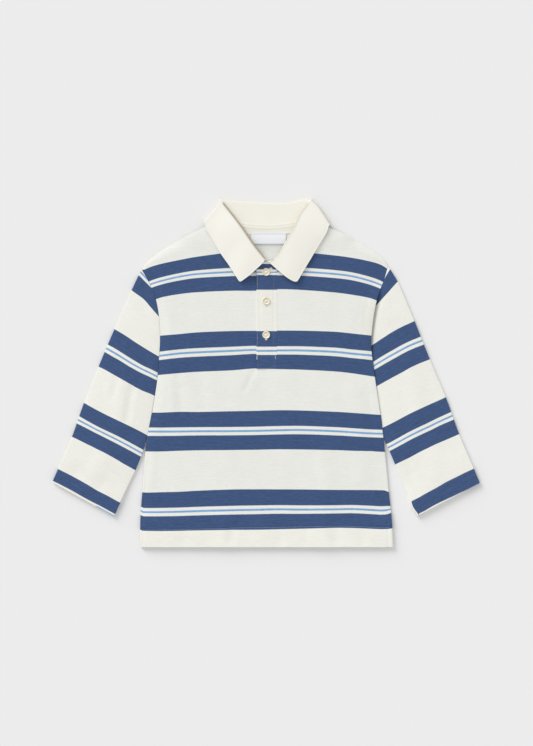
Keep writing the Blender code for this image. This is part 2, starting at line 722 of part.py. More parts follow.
# ================================================================ buttons
def button_mesh():
    """A four-hole button: a turned disc with a raised rim, its holes cut through."""
    top = BUTTON_THICKNESS
    dish = top - BUTTON_DISH
    r = BUTTON_RADIUS
    profile = (
        (0.0, dish), (r - BUTTON_RIM - 0.7, dish), (r - BUTTON_RIM, top - 0.1),
        (r - 0.5, top), (r - 0.1, top - 0.4), (r, top - 0.9),
        (r - 0.9, 0.0), (0.0, 0.0),
    )
    mesh = bpy.data.meshes.new("button_profile")
    edges = [(k, k + 1) for k in range(len(profile) - 1)]
    mesh.from_pydata([(x * MM, 0.0, z * MM) for x, z in profile], edges, [])
    turned = bpy.data.objects.new("button_turned", mesh)
    bpy.data.collections[COLLECTION].objects.link(turned)
    screw = turned.modifiers.new("turn", "SCREW")
    screw.steps = 24
    screw.render_steps = 24
    screw.use_merge_vertices = True
    screw.merge_threshold = 0.00001
    holes = bmesh.new()
    for sx in (-1, 1):
        for sy in (-1, 1):
            drilled = bmesh.ops.create_cone(
                holes, cap_ends=True, segments=10, radius1=BUTTON_HOLE_RADIUS * MM,
                radius2=BUTTON_HOLE_RADIUS * MM, depth=3.0 * top * MM)
            offset = Vector((sx, sy, 0.0)) * BUTTON_HOLE_OFFSET * MM
            bmesh.ops.translate(holes, verts=drilled["verts"], vec=offset)
    cutter_mesh = bpy.data.meshes.new("button_holes")
    holes.to_mesh(cutter_mesh)
    holes.free()
    cutter = bpy.data.objects.new("button_holes", cutter_mesh)
    bpy.data.collections[COLLECTION].objects.link(cutter)
    cut = turned.modifiers.new("holes", "BOOLEAN")
    cut.solver = "EXACT"
    cut.object = cutter
    bpy.context.view_layer.update()
    evaluated = turned.evaluated_get(bpy.context.evaluated_depsgraph_get())
    finished = bpy.data.meshes.new_from_object(evaluated)
    bpy.data.objects.remove(turned)
    bpy.data.objects.remove(cutter)
    finished.name = "button"
    finished.shade_smooth()
    finished.set_sharp_from_angle(angle=math.radians(35.0))
    return finished


def make_buttons():
    mesh = button_mesh()
    mesh.materials.clear()
    mesh.materials.append(material("button_finish", SHELL_CREAM, 0.35))
    for number, y in enumerate(BUTTON_HEIGHTS, start=1):
        button = bpy.data.objects.new(f"button_{number}", mesh)
        button.location = Vector((BUTTON_X, y, top_strip_over(BUTTON_X, y) + GAP)) * MM
        bpy.data.collections[COLLECTION].objects.link(button)


# ================================================================ the shirt
def main():
    for item in list(bpy.data.objects):
        bpy.data.objects.remove(item)
    bpy.context.scene.collection.children.link(bpy.data.collections.new(COLLECTION))
    make_back()
    make_front()
    make_sleeve("sleeve_right", WEARERS_RIGHT)
    make_sleeve("sleeve_left", WEARERS_LEFT)
    make_collar()
    make_placket()
    make_neck_trim()
    make_buttons()


main()
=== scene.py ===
"""Looks of a small child's long-sleeve polo shirt, laid flat and face up on a pale floor.

Every cloth piece is a thin shell of knitted jersey or collar knit, modelled on the
form of its CAD solid, with its creases, rolled edges and stitching placed one by one.
Left and right are the wearer's: side -1 is the wearer's right, at -X, and side +1
the wearer's left, at +X. Sizes are in millimetres until a mesh is written.
"""

import bisect
import math

import bmesh
import bpy
from mathutils import Matrix, Vector, noise
from mathutils.bvhtree import BVHTree


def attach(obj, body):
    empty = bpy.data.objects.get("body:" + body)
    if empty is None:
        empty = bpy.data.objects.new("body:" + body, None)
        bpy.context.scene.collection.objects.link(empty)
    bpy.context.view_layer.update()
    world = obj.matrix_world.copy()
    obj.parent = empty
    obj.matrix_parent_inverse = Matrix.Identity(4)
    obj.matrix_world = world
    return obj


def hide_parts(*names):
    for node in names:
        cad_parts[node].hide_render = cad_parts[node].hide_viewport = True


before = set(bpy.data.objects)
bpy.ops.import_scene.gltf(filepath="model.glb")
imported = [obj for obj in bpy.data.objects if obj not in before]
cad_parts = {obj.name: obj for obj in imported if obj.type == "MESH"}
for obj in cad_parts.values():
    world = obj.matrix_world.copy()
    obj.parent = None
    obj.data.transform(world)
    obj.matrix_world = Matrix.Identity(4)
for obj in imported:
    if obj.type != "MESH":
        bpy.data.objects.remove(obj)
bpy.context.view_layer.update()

MM = 0.001
WEARERS_RIGHT = -1
WEARERS_LEFT = 1
SIDES = (WEARERS_RIGHT, WEARERS_LEFT)
SLEEVE_NAMES = ((WEARERS_RIGHT, "sleeve_right"), (WEARERS_LEFT, "sleeve_left"))
FAR = 1000.0            # farther from an edge than any place on the shirt

# ---------------------------------------------------------------- cloth, as in the CAD source
CLOTH = 1.0             # wall of the jersey
HEM_PLY = 0.8           # what the turned-in ply of the body hem adds
CUFF_PLY = 0.6          # what the turned-in ply of a cuff adds
COLLAR_WALL = 1.4       # two plies of the collar
GAP = 0.3               # between pieces that touch or are sewn together

# ---------------------------------------------------------------- body, as in the CAD source
HEM_Y = -200.0
HEM_TOP_Y = -178.0      # where the turned-in ply of the hem ends
PLACKET_BASE_Y = 4.9
BODY_EDGE = (           # y, then the half width at the wearer's right and left
    (-200.0, 144.4, 145.9),
    (-181.0, 144.9, 145.0),
    (-162.0, 144.4, 143.9),
    (-137.0, 142.5, 141.5),
    (-101.0, 139.9, 138.1),
    (-74.0, 137.0, 135.2),
    (-45.0, 131.1, 131.6),
    (-5.0, 124.9, 125.4),
    (20.0, 122.9, 121.9),
    (37.0, 121.9, 121.0),
    (62.0, 122.9, 123.4),
    (83.0, 126.3, 127.3),
    (98.0, 131.8, 132.2),
    (107.0, 136.0, 135.8),
)
BODY_Y = [row[0] for row in BODY_EDGE]
BODY_HALF_WIDTH = {WEARERS_RIGHT: [row[1] for row in BODY_EDGE],
                   WEARERS_LEFT: [row[2] for row in BODY_EDGE]}
SHOULDER_TIP = {WEARERS_RIGHT: (143.0, 119.0), WEARERS_LEFT: (140.3, 122.8)}
NECKLINE = ((1.8, 127.2), (12.0, 129.0), (26.0, 137.5), (41.0, 149.0), (53.6, 161.6), (60.5, 172.3))
BACK_NECK_Y = 169.0     # at the centre back
SHOULDER_BOW = 8.0      # how far the shoulder line stands above its chord
CROWN = 1.3             # air under the middle of the front
HEM_SLOPE = 26.0        # length over which the front comes down above its hem
# The panels climb onto the collar's fall, which lies under the back. Each slope
# starts at this y at the centre, and later towards the shoulders.
BACK_SLOPE = {"start": 136.0, "length": 21.0}   # longer and softer than in the solids
FRONT_SLOPE = {"start": 128.0, "length": 20.0}
SLOPE_DELAY = 11.7      # of the start, at SLOPE_REACH from the centre
SLOPE_REACH = 90.0
NECK_LIFT = COLLAR_WALL + GAP

# ---------------------------------------------------------------- placket, as in the CAD source
STRIP_FREE_X = -11.0    # free edge of the top strip, on the wearer's right
STRIP_SEWN_X = 12.7     # its sewn edge, on the wearer's left
STRIP_TOP_Y = 125.9
BUTTON_X = 0.2
BUTTON_HEIGHTS = (116.0, 82.7, 43.7)

# ---------------------------------------------------------------- sleeves, as in the CAD source
SLEEVE_FOLD = 2.5       # height of the sleeve's folded edges
CUFF_FOLD = 3.7         # the same at the cuff, whose hem has a second ply
CUFF_SHARE = 0.91       # of the sleeve's length, where it is as high as its cuff
SLEEVE_CROWN = 1.0      # air between the plies, in the middle
# Outer folded edge from the shoulder tip to the cuff: x, y.
SLEEVE_OUTER = {
    WEARERS_RIGHT: ((147.6, 110.5), (154.8, 95.1), (174.6, 50.3), (192.7, 7.4),
                    (209.8, -35.1), (223.3, -73.3), (238.1, -107.6), (246.0, -125.6)),
    WEARERS_LEFT: ((145.6, 115.2), (152.6, 103.2), (170.6, 60.6), (188.7, 15.4),
                   (207.2, -28.6), (222.6, -71.0), (238.1, -107.6), (246.0, -126.4)),
}
# Underarm edge from where it leaves the body to the cuff: x, y, with one place
# more than in the solids near the wearer's left cuff.
SLEEVE_INNER = {
    WEARERS_RIGHT: ((141.8, -90.5), (150.6, -112.4), (159.7, -131.9), (174.9, -164.8)),
    WEARERS_LEFT: ((142.3, -90.3), (148.6, -105.1), (157.7, -126.2), (165.2, -145.0),
                   (174.9, -164.1)),
}
BESIDE_BODY_Y = (-6.0, -30.0, -52.0, -74.0)     # where the underarm edge lies beside the body

# ---------------------------------------------------------------- collar
# Its corners and levels are those of the CAD source, and its edges are drawn finer.
FOLD_RADIUS = 0.85      # of the middle of the wall, where stand turns to fall
# Corners of each leaf: where the fold starts at the front, the point, and
# where fold line and free edge turn round the side of the neck.
LEAF = {
    WEARERS_RIGHT: {"fold_front": (1.4, 131.0), "point": (30.1, 104.5),
                    "fold_side": (51.5, 197.4), "edge_side": (70.6, 170.2)},
    WEARERS_LEFT: {"fold_front": (4.4, 127.0), "point": (35.5, 105.1),
                   "fold_side": (50.4, 197.4), "edge_side": (71.4, 169.4)},
}
# How far each edge of a leaf lies outside the straight line between its corners:
# shares of the way along it, then the distances.
LEAF_BOWS = {
    WEARERS_RIGHT: {
        "fold": ((0.0, 0.25, 0.56, 1.0), (0.0, -0.7, 0.45, 0.0)),
        "free": ((0.0, 0.28, 0.52, 0.73, 0.84, 0.92, 1.0), (0.4, 0.6, 1.7, 1.45, 1.2, 1.4, 0.5)),
        "front": ((0.0, 0.1, 0.33, 0.62, 0.85, 1.0), (0.3, 1.8, 2.1, 2.0, 1.2, 0.3)),
        "side": ((0.0, 0.3, 0.7, 1.0), (0.3, -1.1, -0.8, 0.3)),
    },
    WEARERS_LEFT: {
        "fold": ((0.0, 0.05, 0.154, 0.262, 0.333, 0.43, 0.6, 0.754, 0.86, 1.0),
                 (1.0, -1.2, -3.7, -3.3, -3.2, -2.6, -1.8, 0.5, 0.7, 0.0)),
        "free": ((0.0, 0.26, 0.52, 0.785, 0.9, 1.0), (0.6, 1.0, 1.6, 2.2, 2.2, 1.0)),
        "front": ((0.0, 0.25, 0.5, 0.65, 0.85, 1.0), (0.5, 1.6, 2.6, 3.0, 2.6, 0.9)),
        "side": ((0.0, 0.3, 0.6, 1.0), (0.9, 2.2, 1.5, 0.2)),
    },
}
LEAF_EDGES = {"fold": ("fold_front", "fold_side"), "free": ("point", "edge_side"),
              "front": ("fold_front", "point"), "side": ("fold_side", "edge_side")}
# Line of the fold round the back of the neck, from the wearer's right to left.
BACK_FOLD_X = (-51.5, -40.0, -19.0, 5.0, 20.0, 31.0, 34.5, 38.0, 44.0, 50.4)
BACK_FOLD_Y = (197.4, 196.7, 195.7, 194.2, 194.3, 195.2, 196.2, 197.1, 197.8, 197.4)
BACK_EDGE_Y = 159.6     # hidden free edge at the centre back
# Levels of the middle of the collar's wall.
BACK_FALL_Z = COLLAR_WALL / 2.0
BACK_STAND_Z = BACK_FALL_Z + 2.0 * FOLD_RADIUS
SIDE_STAND_Z = 4.5      # stand, where the front turns to the side
THROAT_FOLD_Z = 6.2     # fold beside the throat, the highest part of the stand
FRONT_FOLD_Z = 5.6      # fold at the front end
SEAM_Z = 4.0            # stand's lower edge along the front neckline
PLACKET_SEAM_Z = 5.3    # the same over the top of the placket
POINT_Z = 5.0           # the leaf's point
SEAM_OFFSET = 1.1       # of the stand's lower edge, inside the neckline

# ---------------------------------------------------------------- stripes
# From the top of a group: dark blue, white, light blue, white, dark blue, then
# white down to the next group.
PITCH = 91.4
DARK_UPPER = 17.9
LIGHT_UPPER = 21.5
LIGHT_LOWER = 23.8
DARK_LOWER = 27.4
GROUP = 44.4
TOP, MIDDLE, BASE = 0.0, 22.65, GROUP
# Height of the top, middle and base of each group on the front, at these x.
STRIPE_X = (-140.0, -132.0, -120.0, -100.0, -80.0, -40.0, -12.0,
            14.0, 40.0, 80.0, 100.0, 120.0, 132.0, 140.0)
FRONT_STRIPES = (
    (TOP, (118.6, 122.0, 125.4, 129.6, 133.3, 138.4, 139.5, 139.5, 138.6, 134.8, 132.0, 128.0,
           124.3, 119.5)),
    (MIDDLE, (98.0, 102.2, 106.0, 110.6, 113.7, 116.0, 116.6, 116.8, 116.4, 113.7, 111.0, 105.7,
              101.2, 96.5)),
    (BASE, (78.0, 82.5, 86.9, 90.6, 92.7, 94.5, 94.5, 96.2, 95.5, 92.4, 89.7, 85.9, 80.8, 76.0)),
    (PITCH + TOP, (40.4, 41.3, 42.8, 44.5, 46.4, 48.0, 48.2, 48.5, 48.4, 47.1, 45.1, 42.9,
                   41.2, 40.0)),
    (PITCH + MIDDLE, (17.0, 18.2, 19.9, 22.3, 23.6, 25.3, 26.6, 25.9, 25.8, 24.1, 22.0, 20.2,
                      18.5, 17.2)),
    (PITCH + BASE, (-4.4, -3.4, -2.1, -0.3, 1.2, 2.9, 5.1, 4.4, 3.7, 1.6, -0.6, -3.7, -5.6, -7.0)),
    (2 * PITCH + TOP, (-45.8, -45.8, -45.8, -44.9, -45.1, -44.3, -43.8, -43.1, -43.4, -44.9, -46.1, -47.6,
                       -48.4, -48.9)),
    (2 * PITCH + MIDDLE, (-67.3, -67.4, -67.5, -67.4, -67.1, -67.0, -66.7, -66.0, -65.6, -67.1, -68.3,
                          -69.6, -69.9, -70.0)),
    (2 * PITCH + BASE, (-90.3, -90.5, -90.4, -89.6, -89.1, -88.7, -88.4, -87.9, -88.1, -88.8, -89.6, -90.0,
                        -90.8, -91.0)),
    (3 * PITCH + TOP, (-137.8, -137.8, -137.4, -136.9, -135.7, -134.2, -134.0, -134.1, -134.2, -134.7,
                       -134.8, -134.9, -135.1, -135.5)),
    (3 * PITCH + MIDDLE, (-160.2, -160.2, -160.1, -159.7, -159.0, -157.9, -157.4, -156.9, -157.2, -156.9,
                          -156.6, -157.6, -158.3, -157.9)),
    (3 * PITCH + BASE, (-181.6, -181.8, -181.9, -181.6, -181.2, -180.5, -180.4, -179.9, -179.2, -178.2,
                        -178.4, -179.2, -179.7, -179.5)),
)
BACK_BOW = 0.3          # of the front's bow, in the stripes of the back
# Lines across the sleeves. For each place in the cloth, how far down the sleeve
# the line lies at these places across it, from its outer to its underarm edge.
SLEEVE_X = (-176.0, -164.0, -152.0, -140.0, -128.0, -116.0, -104.0, -92.0)
SLEEVE_STRIPES = {
    WEARERS_RIGHT: (
        (MIDDLE - PITCH, (-29.3, -25.8, -22.4, -19.0, -15.6, -12.2, -8.8, -5.4)),
        (DARK_LOWER - PITCH, (-25.6, -22.0, -18.6, -15.2, -11.8, -8.4, -5.0, -1.6)),
        (BASE - PITCH, (-7.4, -5.9, -1.5, 2.9, 7.0, 11.0, 15.0, 19.0)),
        (TOP, (40.6, 40.9, 41.9, 42.6, 43.1, 43.3, 43.1, 42.8)),
        (DARK_UPPER, (59.8, 59.8, 60.5, 61.1, 61.3, 60.5, 60.1, 60.0)),
        (MIDDLE, (64.5, 64.4, 64.9, 65.4, 65.3, 64.7, 64.3, 64.2)),
        (DARK_LOWER, (68.8, 69.0, 69.1, 69.7, 69.6, 68.8, 68.3, 68.2)),
        (BASE, (87.3, 86.7, 86.8, 86.8, 87.0, 87.0, 85.5, 84.9)),
        (PITCH + TOP, (131.9, 131.9, 131.9, 131.6, 130.9, 130.2, 129.5, 129.1)),
        (PITCH + DARK_UPPER, (147.7, 147.8, 148.0, 147.9, 147.2, 146.4, 146.1, 146.0)),
        (PITCH + MIDDLE, (152.2, 152.1, 151.9, 151.6, 151.0, 150.4, 150.1, 150.0)),
        (PITCH + DARK_LOWER, (156.7, 156.4, 155.8, 155.5, 155.0, 154.5, 154.2, 154.0)),
        (PITCH + BASE, (173.2, 172.9, 172.1, 171.5, 170.9, 170.4, 170.4, 170.9)),
        (2 * PITCH + TOP, (213.2, 212.9, 212.6, 212.1, 212.0, 212.1, 212.6, 212.1)),
        (2 * PITCH + DARK_UPPER, (228.0, 227.7, 227.4, 226.9, 226.6, 226.8, 226.7, 226.2)),
    ),
    WEARERS_LEFT: (
        (LIGHT_LOWER - PITCH, (-50.0, -42.0, -34.0, -27.0, -20.0, -13.0, -6.0, 1.0)),
        (DARK_LOWER - PITCH, (-38.8, -31.2, -24.0, -17.0, -10.0, -3.0, 4.0, 11.0)),
        (BASE - PITCH, (-23.1, -18.4, -13.8, -9.2, -4.6, 0.0, 4.6, 9.2)),
        (TOP, (23.6, 23.1, 23.4, 24.5, 25.9, 27.3, 28.7, 30.1)),
        (DARK_UPPER, (42.8, 41.9, 41.8, 42.4, 43.0, 44.3, 45.6, 46.9)),
        (MIDDLE, (47.6, 46.4, 46.4, 46.8, 47.4, 48.3, 49.2, 50.1)),
        (DARK_LOWER, (52.5, 51.2, 50.9, 51.4, 51.9, 52.6, 53.3, 54.0)),
        (BASE, (71.0, 69.9, 69.4, 69.9, 70.2, 70.7, 71.2, 71.7)),
        (PITCH + TOP, (118.4, 117.9, 117.3, 116.8, 116.5, 116.7, 117.0, 116.9)),
        (PITCH + DARK_UPPER, (136.3, 135.8, 135.3, 135.2, 134.9, 134.8, 135.3, 135.8)),
        (PITCH + MIDDLE, (140.8, 140.2, 139.8, 139.6, 139.2, 139.1, 139.5, 140.0)),
        (PITCH + DARK_LOWER, (145.4, 144.8, 144.0, 144.0, 143.6, 143.4, 143.8, 144.2)),
        (PITCH + BASE, (163.5, 162.9, 162.2, 161.3, 161.0, 160.9, 161.3, 161.1)),
        (2 * PITCH + TOP, (206.6, 206.0, 205.6, 205.6, 205.5, 206.3, 206.6, 207.3)),
        (2 * PITCH + DARK_UPPER, (225.4, 224.9, 224.3, 223.8, 223.5, 223.1, 223.0, 223.8)),
    ),
}
# Level direction across each sleeve, from its outer to its underarm edge.
ACROSS_SLEEVE = {WEARERS_RIGHT: (0.875, -0.485), WEARERS_LEFT: (-0.893, -0.450)}

# ---------------------------------------------------------------- soft folds, placed one by one
# x, y at each end of the ridge or trough, its half width, its height (below 0 in a
# trough). Some of them are too small for the solids.
FRONT_FOLDS = (
    (-47.0, -92.0, -45.0, -196.0, 11.0, 0.6),
    (62.0, -90.0, 70.0, -196.0, 11.0, 0.6),
    (-107.0, 84.0, -108.0, -43.0, 9.0, 0.7),
    (104.0, -20.0, 112.0, -120.0, 10.0, 0.6),
    (-30.0, -14.0, -17.0, -4.0, 9.0, 0.35),
    (-14.0, 2.0, -24.0, -19.0, 2.6, -0.42),
    (-104.0, 20.0, -99.0, -42.0, 5.0, -0.85),
    (-78.0, -2.0, -74.0, -40.0, 7.0, -0.35),
    (-103.0, 88.0, -101.0, 48.0, 4.0, -0.3),
    (-52.0, -96.0, -50.0, -130.0, 7.0, -0.35),
    (54.0, -95.0, 60.0, -131.0, 6.0, -0.4),
    (84.0, 86.0, 80.0, 52.0, 7.0, -0.28),
    (-15.0, 122.0, -14.5, 103.0, 4.5, -1.3),
    (-38.0, -176.0, -40.0, -192.0, 5.0, -0.75),
    (78.0, -176.0, 81.0, -192.0, 6.0, -0.75),
    (16.0, -178.0, 17.0, -193.0, 5.0, -0.45),
    (-96.0, -178.0, -94.0, -193.0, 6.0, -0.45),
    (-118.0, -181.0, -119.0, -196.0, 4.0, -0.3),
    (45.0, -181.0, 44.0, -196.0, 4.0, -0.3),
    (112.0, -181.0, 113.0, -196.0, 5.0, -0.35),
)
SLEEVE_FOLDS = {
    WEARERS_RIGHT: (
        (-172.0, 0.0, -168.0, -60.0, 10.0, 0.5),
        (-190.0, -104.0, -206.0, -128.0, 9.0, 0.5),
        (-171.0, -3.0, -176.0, -25.0, 4.0, -0.55),
        (-155.0, -20.0, -160.0, -54.0, 4.0, -0.65),
        (-218.0, -112.0, -192.0, -130.0, 7.0, -0.7),
    ),
    WEARERS_LEFT: (
        (168.0, 20.0, 176.0, -50.0, 10.0, 0.5),
        (190.0, -100.0, 196.0, -136.0, 9.0, 0.5),
        (162.0, -107.0, 172.0, -138.0, 4.5, -0.75),
        (150.0, 55.0, 158.0, 20.0, 6.0, -0.3),
    ),
}

# Depth and half width of the groove along each sewn line, and of the dip where the
# wearer's left sleeve goes down beside the body.
SEWN_IN = {
    "armhole_right": (0.12, 1.2),
    "armhole_left": (0.3, 1.5),
    "tucked": (0.7, 6.5),
    "hem": (0.28, 1.0),
    "side_seam": (0.22, 0.6),
    "cuff": (0.25, 1.0),
    "leaf": (0.2, 0.7),
    "strip_free": (0.16, 0.8),
    "strip_sewn": (0.12, 0.7),
    "buttonhole": (0.2, 0.5),
    "tape": (0.1, 0.5),
}
# Starting places in the noise that gives each piece its own uneven drape.
DRAPE_SEED = {"front": 3.0, "sleeve": 11.0, "collar": 20.0, "strip": 31.0}

# ---------------------------------------------------------------- colours, as they look on the floor
JERSEY_WHITE = (231, 232, 226)
DOUBLE_WARMTH = (1.06, 1.045, 1.02)     # what a second ply behind adds to the white
EDGE_PAINTED_SHADE = (0.72, 0.69, 0.64)          # painted shade where the knit turns over an edge or goes down beside one
STRIPE_BLUE = (58, 81, 122)
STRIPE_LIGHT_BLUE = (122, 163, 208)
COLLAR_WHITE = (240, 238, 229)
# painted warm shade on the collar's stand, for light bounced inside the collar
STAND_PAINTED_WARM_SHADE = (0.985, 0.98, 0.955)
LEAF_FOLD_PAINTED_SHADE = (0.48, 0.42, 0.35)          # painted shade deep in the fold of a leaf
LABEL_WHITE = (238, 240, 242)
LABEL_BLUE = (172, 194, 222)
THREAD_WHITE = (240, 238, 228)
THREAD_BRIGHT = (252, 251, 248)
THREAD_BLUE = (104, 124, 160)
THREAD_HEM = (146, 162, 194)
THREAD_CREAM = (238, 233, 214)
# the tape's real stitching, its thread darkened to tan as painted shade along the neck seam
THREAD_TAN_SHADED = (205, 192, 165)
SHELL_CREAM = (229, 222, 197)
SHELL_CLOUD = (222, 212, 186)
FLOOR_GREY = (233, 233, 233)


# ================================================================ helpers
def lerp(a, b, t):
    return a + (b - a) * t


def lerp_point(a, b, t):
    return lerp(a[0], b[0], t), lerp(a[1], b[1], t)


def smoothstep(t):
    t = min(max(t, 0.0), 1.0)
    return t * t * (3.0 - 2.0 * t)


def smooth(knots, values, at):
    """Value at one place of the smooth curve through values at the knots."""
    last = len(knots) - 1
    i = min(max(bisect.bisect_right(knots, at) - 1, 0), last - 1)

    def slope(j):
        low = max(j - 1, 0)
        high = min(j + 1, last)
        return (values[high] - values[low]) / (knots[high] - knots[low])

    step = knots[i + 1] - knots[i]
    t = (at - knots[i]) / step
    ease = t * t * (3.0 - 2.0 * t)
    rise = t * (1.0 - t) * (1.0 - t) * step * slope(i)
    fall = t * t * (t - 1.0) * step * slope(i + 1)
    return lerp(values[i], values[i + 1], ease) + rise + fall


def run_lengths(points):
    """Length of a path of straight runs from its start to each of its points."""
    lengths = [0.0]
    for a, b in zip(points, points[1:]):
        lengths.append(lengths[-1] + math.dist(a, b))
    return lengths


def along(points, share):
    """Point at a share of the length of the smooth curve through the points."""
    lengths = run_lengths(points)
    at = share * lengths[-1]
    return tuple(smooth(lengths, [p[axis] for p in points], at) for axis in (0, 1))


def ridges(table, x, y):
    """Height that the soft folds of a table add at a place."""
    total = 0.0
    for x0, y0, x1, y1, half_width, height in table:
        run_x, run_y = x1 - x0, y1 - y0
        share = ((x - x0) * run_x + (y - y0) * run_y) / (run_x * run_x + run_y * run_y)
        share = min(max(share, 0.0), 1.0)
        distance = math.hypot(x - x0 - run_x * share, y - y0 - run_y * share)
        if distance < 2.0 * half_width:
            total += height * smoothstep(1.0 - distance / (2.0 * half_width))
    return total


def sewn_in(line, distance):
    """How far a sewn line pulls the cloth in at a distance from it."""
    depth, half_width = SEWN_IN[line]
    return depth * math.exp(-(distance / half_width) ** 2)


def ripple(x, y, length, seed):
    """Gentle uneven drape between 0 and 1, the same each run."""
    broad = noise.noise(Vector((x / length, y / (1.5 * length), seed)))
    fine = noise.noise(Vector((x / (0.4 * length), y / (0.6 * length), seed + 7.0)))
    return 0.5 + 0.36 * broad + 0.14 * fine


def pressed_fold(step, steps):
    """Round a fold pressed nearly square: how far out and how far down a step lies,
    and how far the cloth has turned there, all from 0 to 1."""
    angle = 0.5 * math.pi * step / steps
    return math.sqrt(math.sin(angle)), 1.0 - math.sqrt(max(0.0, math.cos(angle))), math.sin(angle)


def spaced(first, last, steps):
    """Evenly spaced places after the first, up to and with the last."""
    return [lerp(first, last, (k + 1) / steps) for k in range(steps)]


def linear(colour):
    """Linear colour of a screen colour from 0 to 255."""
    parts = []
    for value in colour:
        value /= 255.0
        parts.append(value / 12.92 if value <= 0.04045 else ((value + 0.055) / 1.055) ** 2.4)
    return (*parts, 1.0)


# ================================================================ mesh makers
STITCH_SHARE = 0.78    # of the way from stitch to stitch that the thread shows
TACK_PITCH = 0.34      # between the bars of a bar tack
TACK_PROUD = 0.12
THREAD_SHARP = 180.0   # thread is smooth all round


def add_object(name, data):
    made = bpy.data.objects.new(name, data)
    bpy.context.scene.collection.objects.link(made)
    return made


def mesh_of(bm, name):
    mesh = bpy.data.meshes.new(name)
    bm.to_mesh(mesh)
    bm.free()
    return mesh


def finished(mesh, name, finish, sharp):
    """An object in one material, smooth but for edges sharper than an angle in degrees."""
    mesh.materials.clear()
    mesh.materials.append(finish)
    mesh.shade_smooth()
    mesh.set_sharp_from_angle(angle=math.radians(sharp))
    return add_object(name, mesh)


def finish_mesh(bm, name, finish, sharp=50.0):
    return finished(mesh_of(bm, name), name, finish, sharp)


def round_rim(piece, width):
    """Rounds the cut or folded edges of a wall of cloth."""
    bevel = piece.modifiers.new("rim", "BEVEL")
    bevel.width = width * MM
    bevel.segments = 3
    bevel.limit_method = "ANGLE"
    bevel.angle_limit = math.radians(50.0)
    return piece


def cloth_piece(name, columns, rows, place, finish, keep=None, wrapped=False, rim=0.4):
    """A wall of cloth: a grid laid over its outer face, thickened to its inner face.

    place gives, from a column and a row, the outer point, the inner point and
    where the point lies in the cloth: across it, down it from the top of a
    stripe group, and a tone. The tone is 1 where the cloth is double, or on the
    collar where painted warm shade lies on its stand, 0 where it is single, and
    goes down to -1 for painted shade where it turns over an edge, lies deep in a
    fold or lies beside a raised edge. keep says which squares of the grid belong
    to the piece, and a wrapped piece joins its last column to its first.
    """
    bm = bmesh.new()
    bmesh.ops.create_grid(bm, x_segments=columns, y_segments=rows, size=0.5)
    grid = bm.verts.layers.float_vector.new("grid_place")
    under = bm.verts.layers.float_vector.new("inner_place")
    cloth = bm.verts.layers.float_vector.new("cloth_at")
    for vert in bm.verts:
        column = round((vert.co.x + 0.5) * columns)
        row = round((vert.co.y + 0.5) * rows)
        vert[grid] = Vector((column, row, 0.0))
    if keep:
        unused = []
        for face in bm.faces:
            column = min(v[grid].x for v in face.verts)
            row = min(v[grid].y for v in face.verts)
            if not keep(int(column), int(row)):
                unused.append(face)
        bmesh.ops.delete(bm, geom=unused, context="FACES")
    for vert in bm.verts:
        outer, inner, cloth_at = place(int(vert[grid].x), int(vert[grid].y))
        vert.co = Vector(outer) * MM
        vert[under] = Vector(inner) * MM
        vert[cloth] = Vector(cloth_at)
    if wrapped:
        bmesh.ops.remove_doubles(bm, verts=bm.verts, dist=0.000001)
    extruded = bmesh.ops.extrude_face_region(bm, geom=list(bm.faces), use_keep_orig=True)
    for item in extruded["geom"]:
        if isinstance(item, bmesh.types.BMVert):
            item.co = item[under]
    bmesh.ops.recalc_face_normals(bm, faces=bm.faces)
    bm.verts.layers.float_vector.remove(bm.verts.layers.float_vector["grid_place"])
    bm.verts.layers.float_vector.remove(bm.verts.layers.float_vector["inner_place"])
    return round_rim(finish_mesh(bm, name, finish), rim)


class Surface:
    """Height of the upper side of a piece, for what is sewn on it."""

    def __init__(self, piece):
        points = [v.co.copy() for v in piece.data.vertices]
        faces = [tuple(p.vertices) for p in piece.data.polygons]
        self.tree = BVHTree.FromPolygons(points, faces)

    def height(self, x, y):
        above = Vector((x * MM, y * MM, 100.0 * MM))
        hit = self.tree.ray_cast(above, Vector((0.0, 0.0, -1.0)))[0]
        return 0.0 if hit is None else hit.z / MM


def thread_bar(bm, start, end, radius):
    """One stitch: a small tapering bar of thread between two points."""
    run = end - start
    turn = run.to_track_quat("Z", "Y").to_matrix().to_4x4()
    size = Matrix.Diagonal((radius, radius, run.length / 2.0 + radius * 0.5, 1.0))
    place = Matrix.Translation((start + end) / 2.0 * MM) @ turn @ size @ Matrix.Scale(MM, 4)
    bmesh.ops.create_uvsphere(bm, u_segments=6, v_segments=5, radius=1.0, matrix=place)


def line_points(points, pitch):
    """Evenly spaced points on a path of straight runs."""
    lengths = run_lengths(points)
    count = max(1, round(lengths[-1] / pitch))
    made = []
    for k in range(count + 1):
        at = lengths[-1] * k / count
        i = min(bisect.bisect_right(lengths, at) - 1, len(points) - 2)
        t = (at - lengths[i]) / (lengths[i + 1] - lengths[i])
        made.append(lerp_point(points[i], points[i + 1], t))
    return made


def sewn_lines(name, paths, surface, finish, pitch, radius, proud=0.05):
    """Running stitches along paths, lying on a surface, as one piece."""
    bm = bmesh.new()
    gap = (1.0 - STITCH_SHARE) / 2.0
    for path in paths:
        places = line_points(path, pitch)
        for a, b in zip(places, places[1:]):
            ends = []
            for t in (gap, 1.0 - gap):
                x, y = lerp_point(a, b, t)
                ends.append(Vector((x, y, surface.height(x, y) + proud)))
            thread_bar(bm, *ends, radius)
    return finish_mesh(bm, name, finish, THREAD_SHARP)


def bar_tack(bm, start, end, width, surface, radius):
    """A dense row of thread bars that ties a seam end down."""
    run = Vector((end[0] - start[0], end[1] - start[1]))
    across = Vector((-run.y, run.x)).normalized() * width / 2.0
    for x, y in line_points((start, end), TACK_PITCH):
        z = surface.height(x, y) + TACK_PROUD
        thread_bar(bm, Vector((x - across.x, y - across.y, z)),
                   Vector((x + across.x, y + across.y, z)), radius)


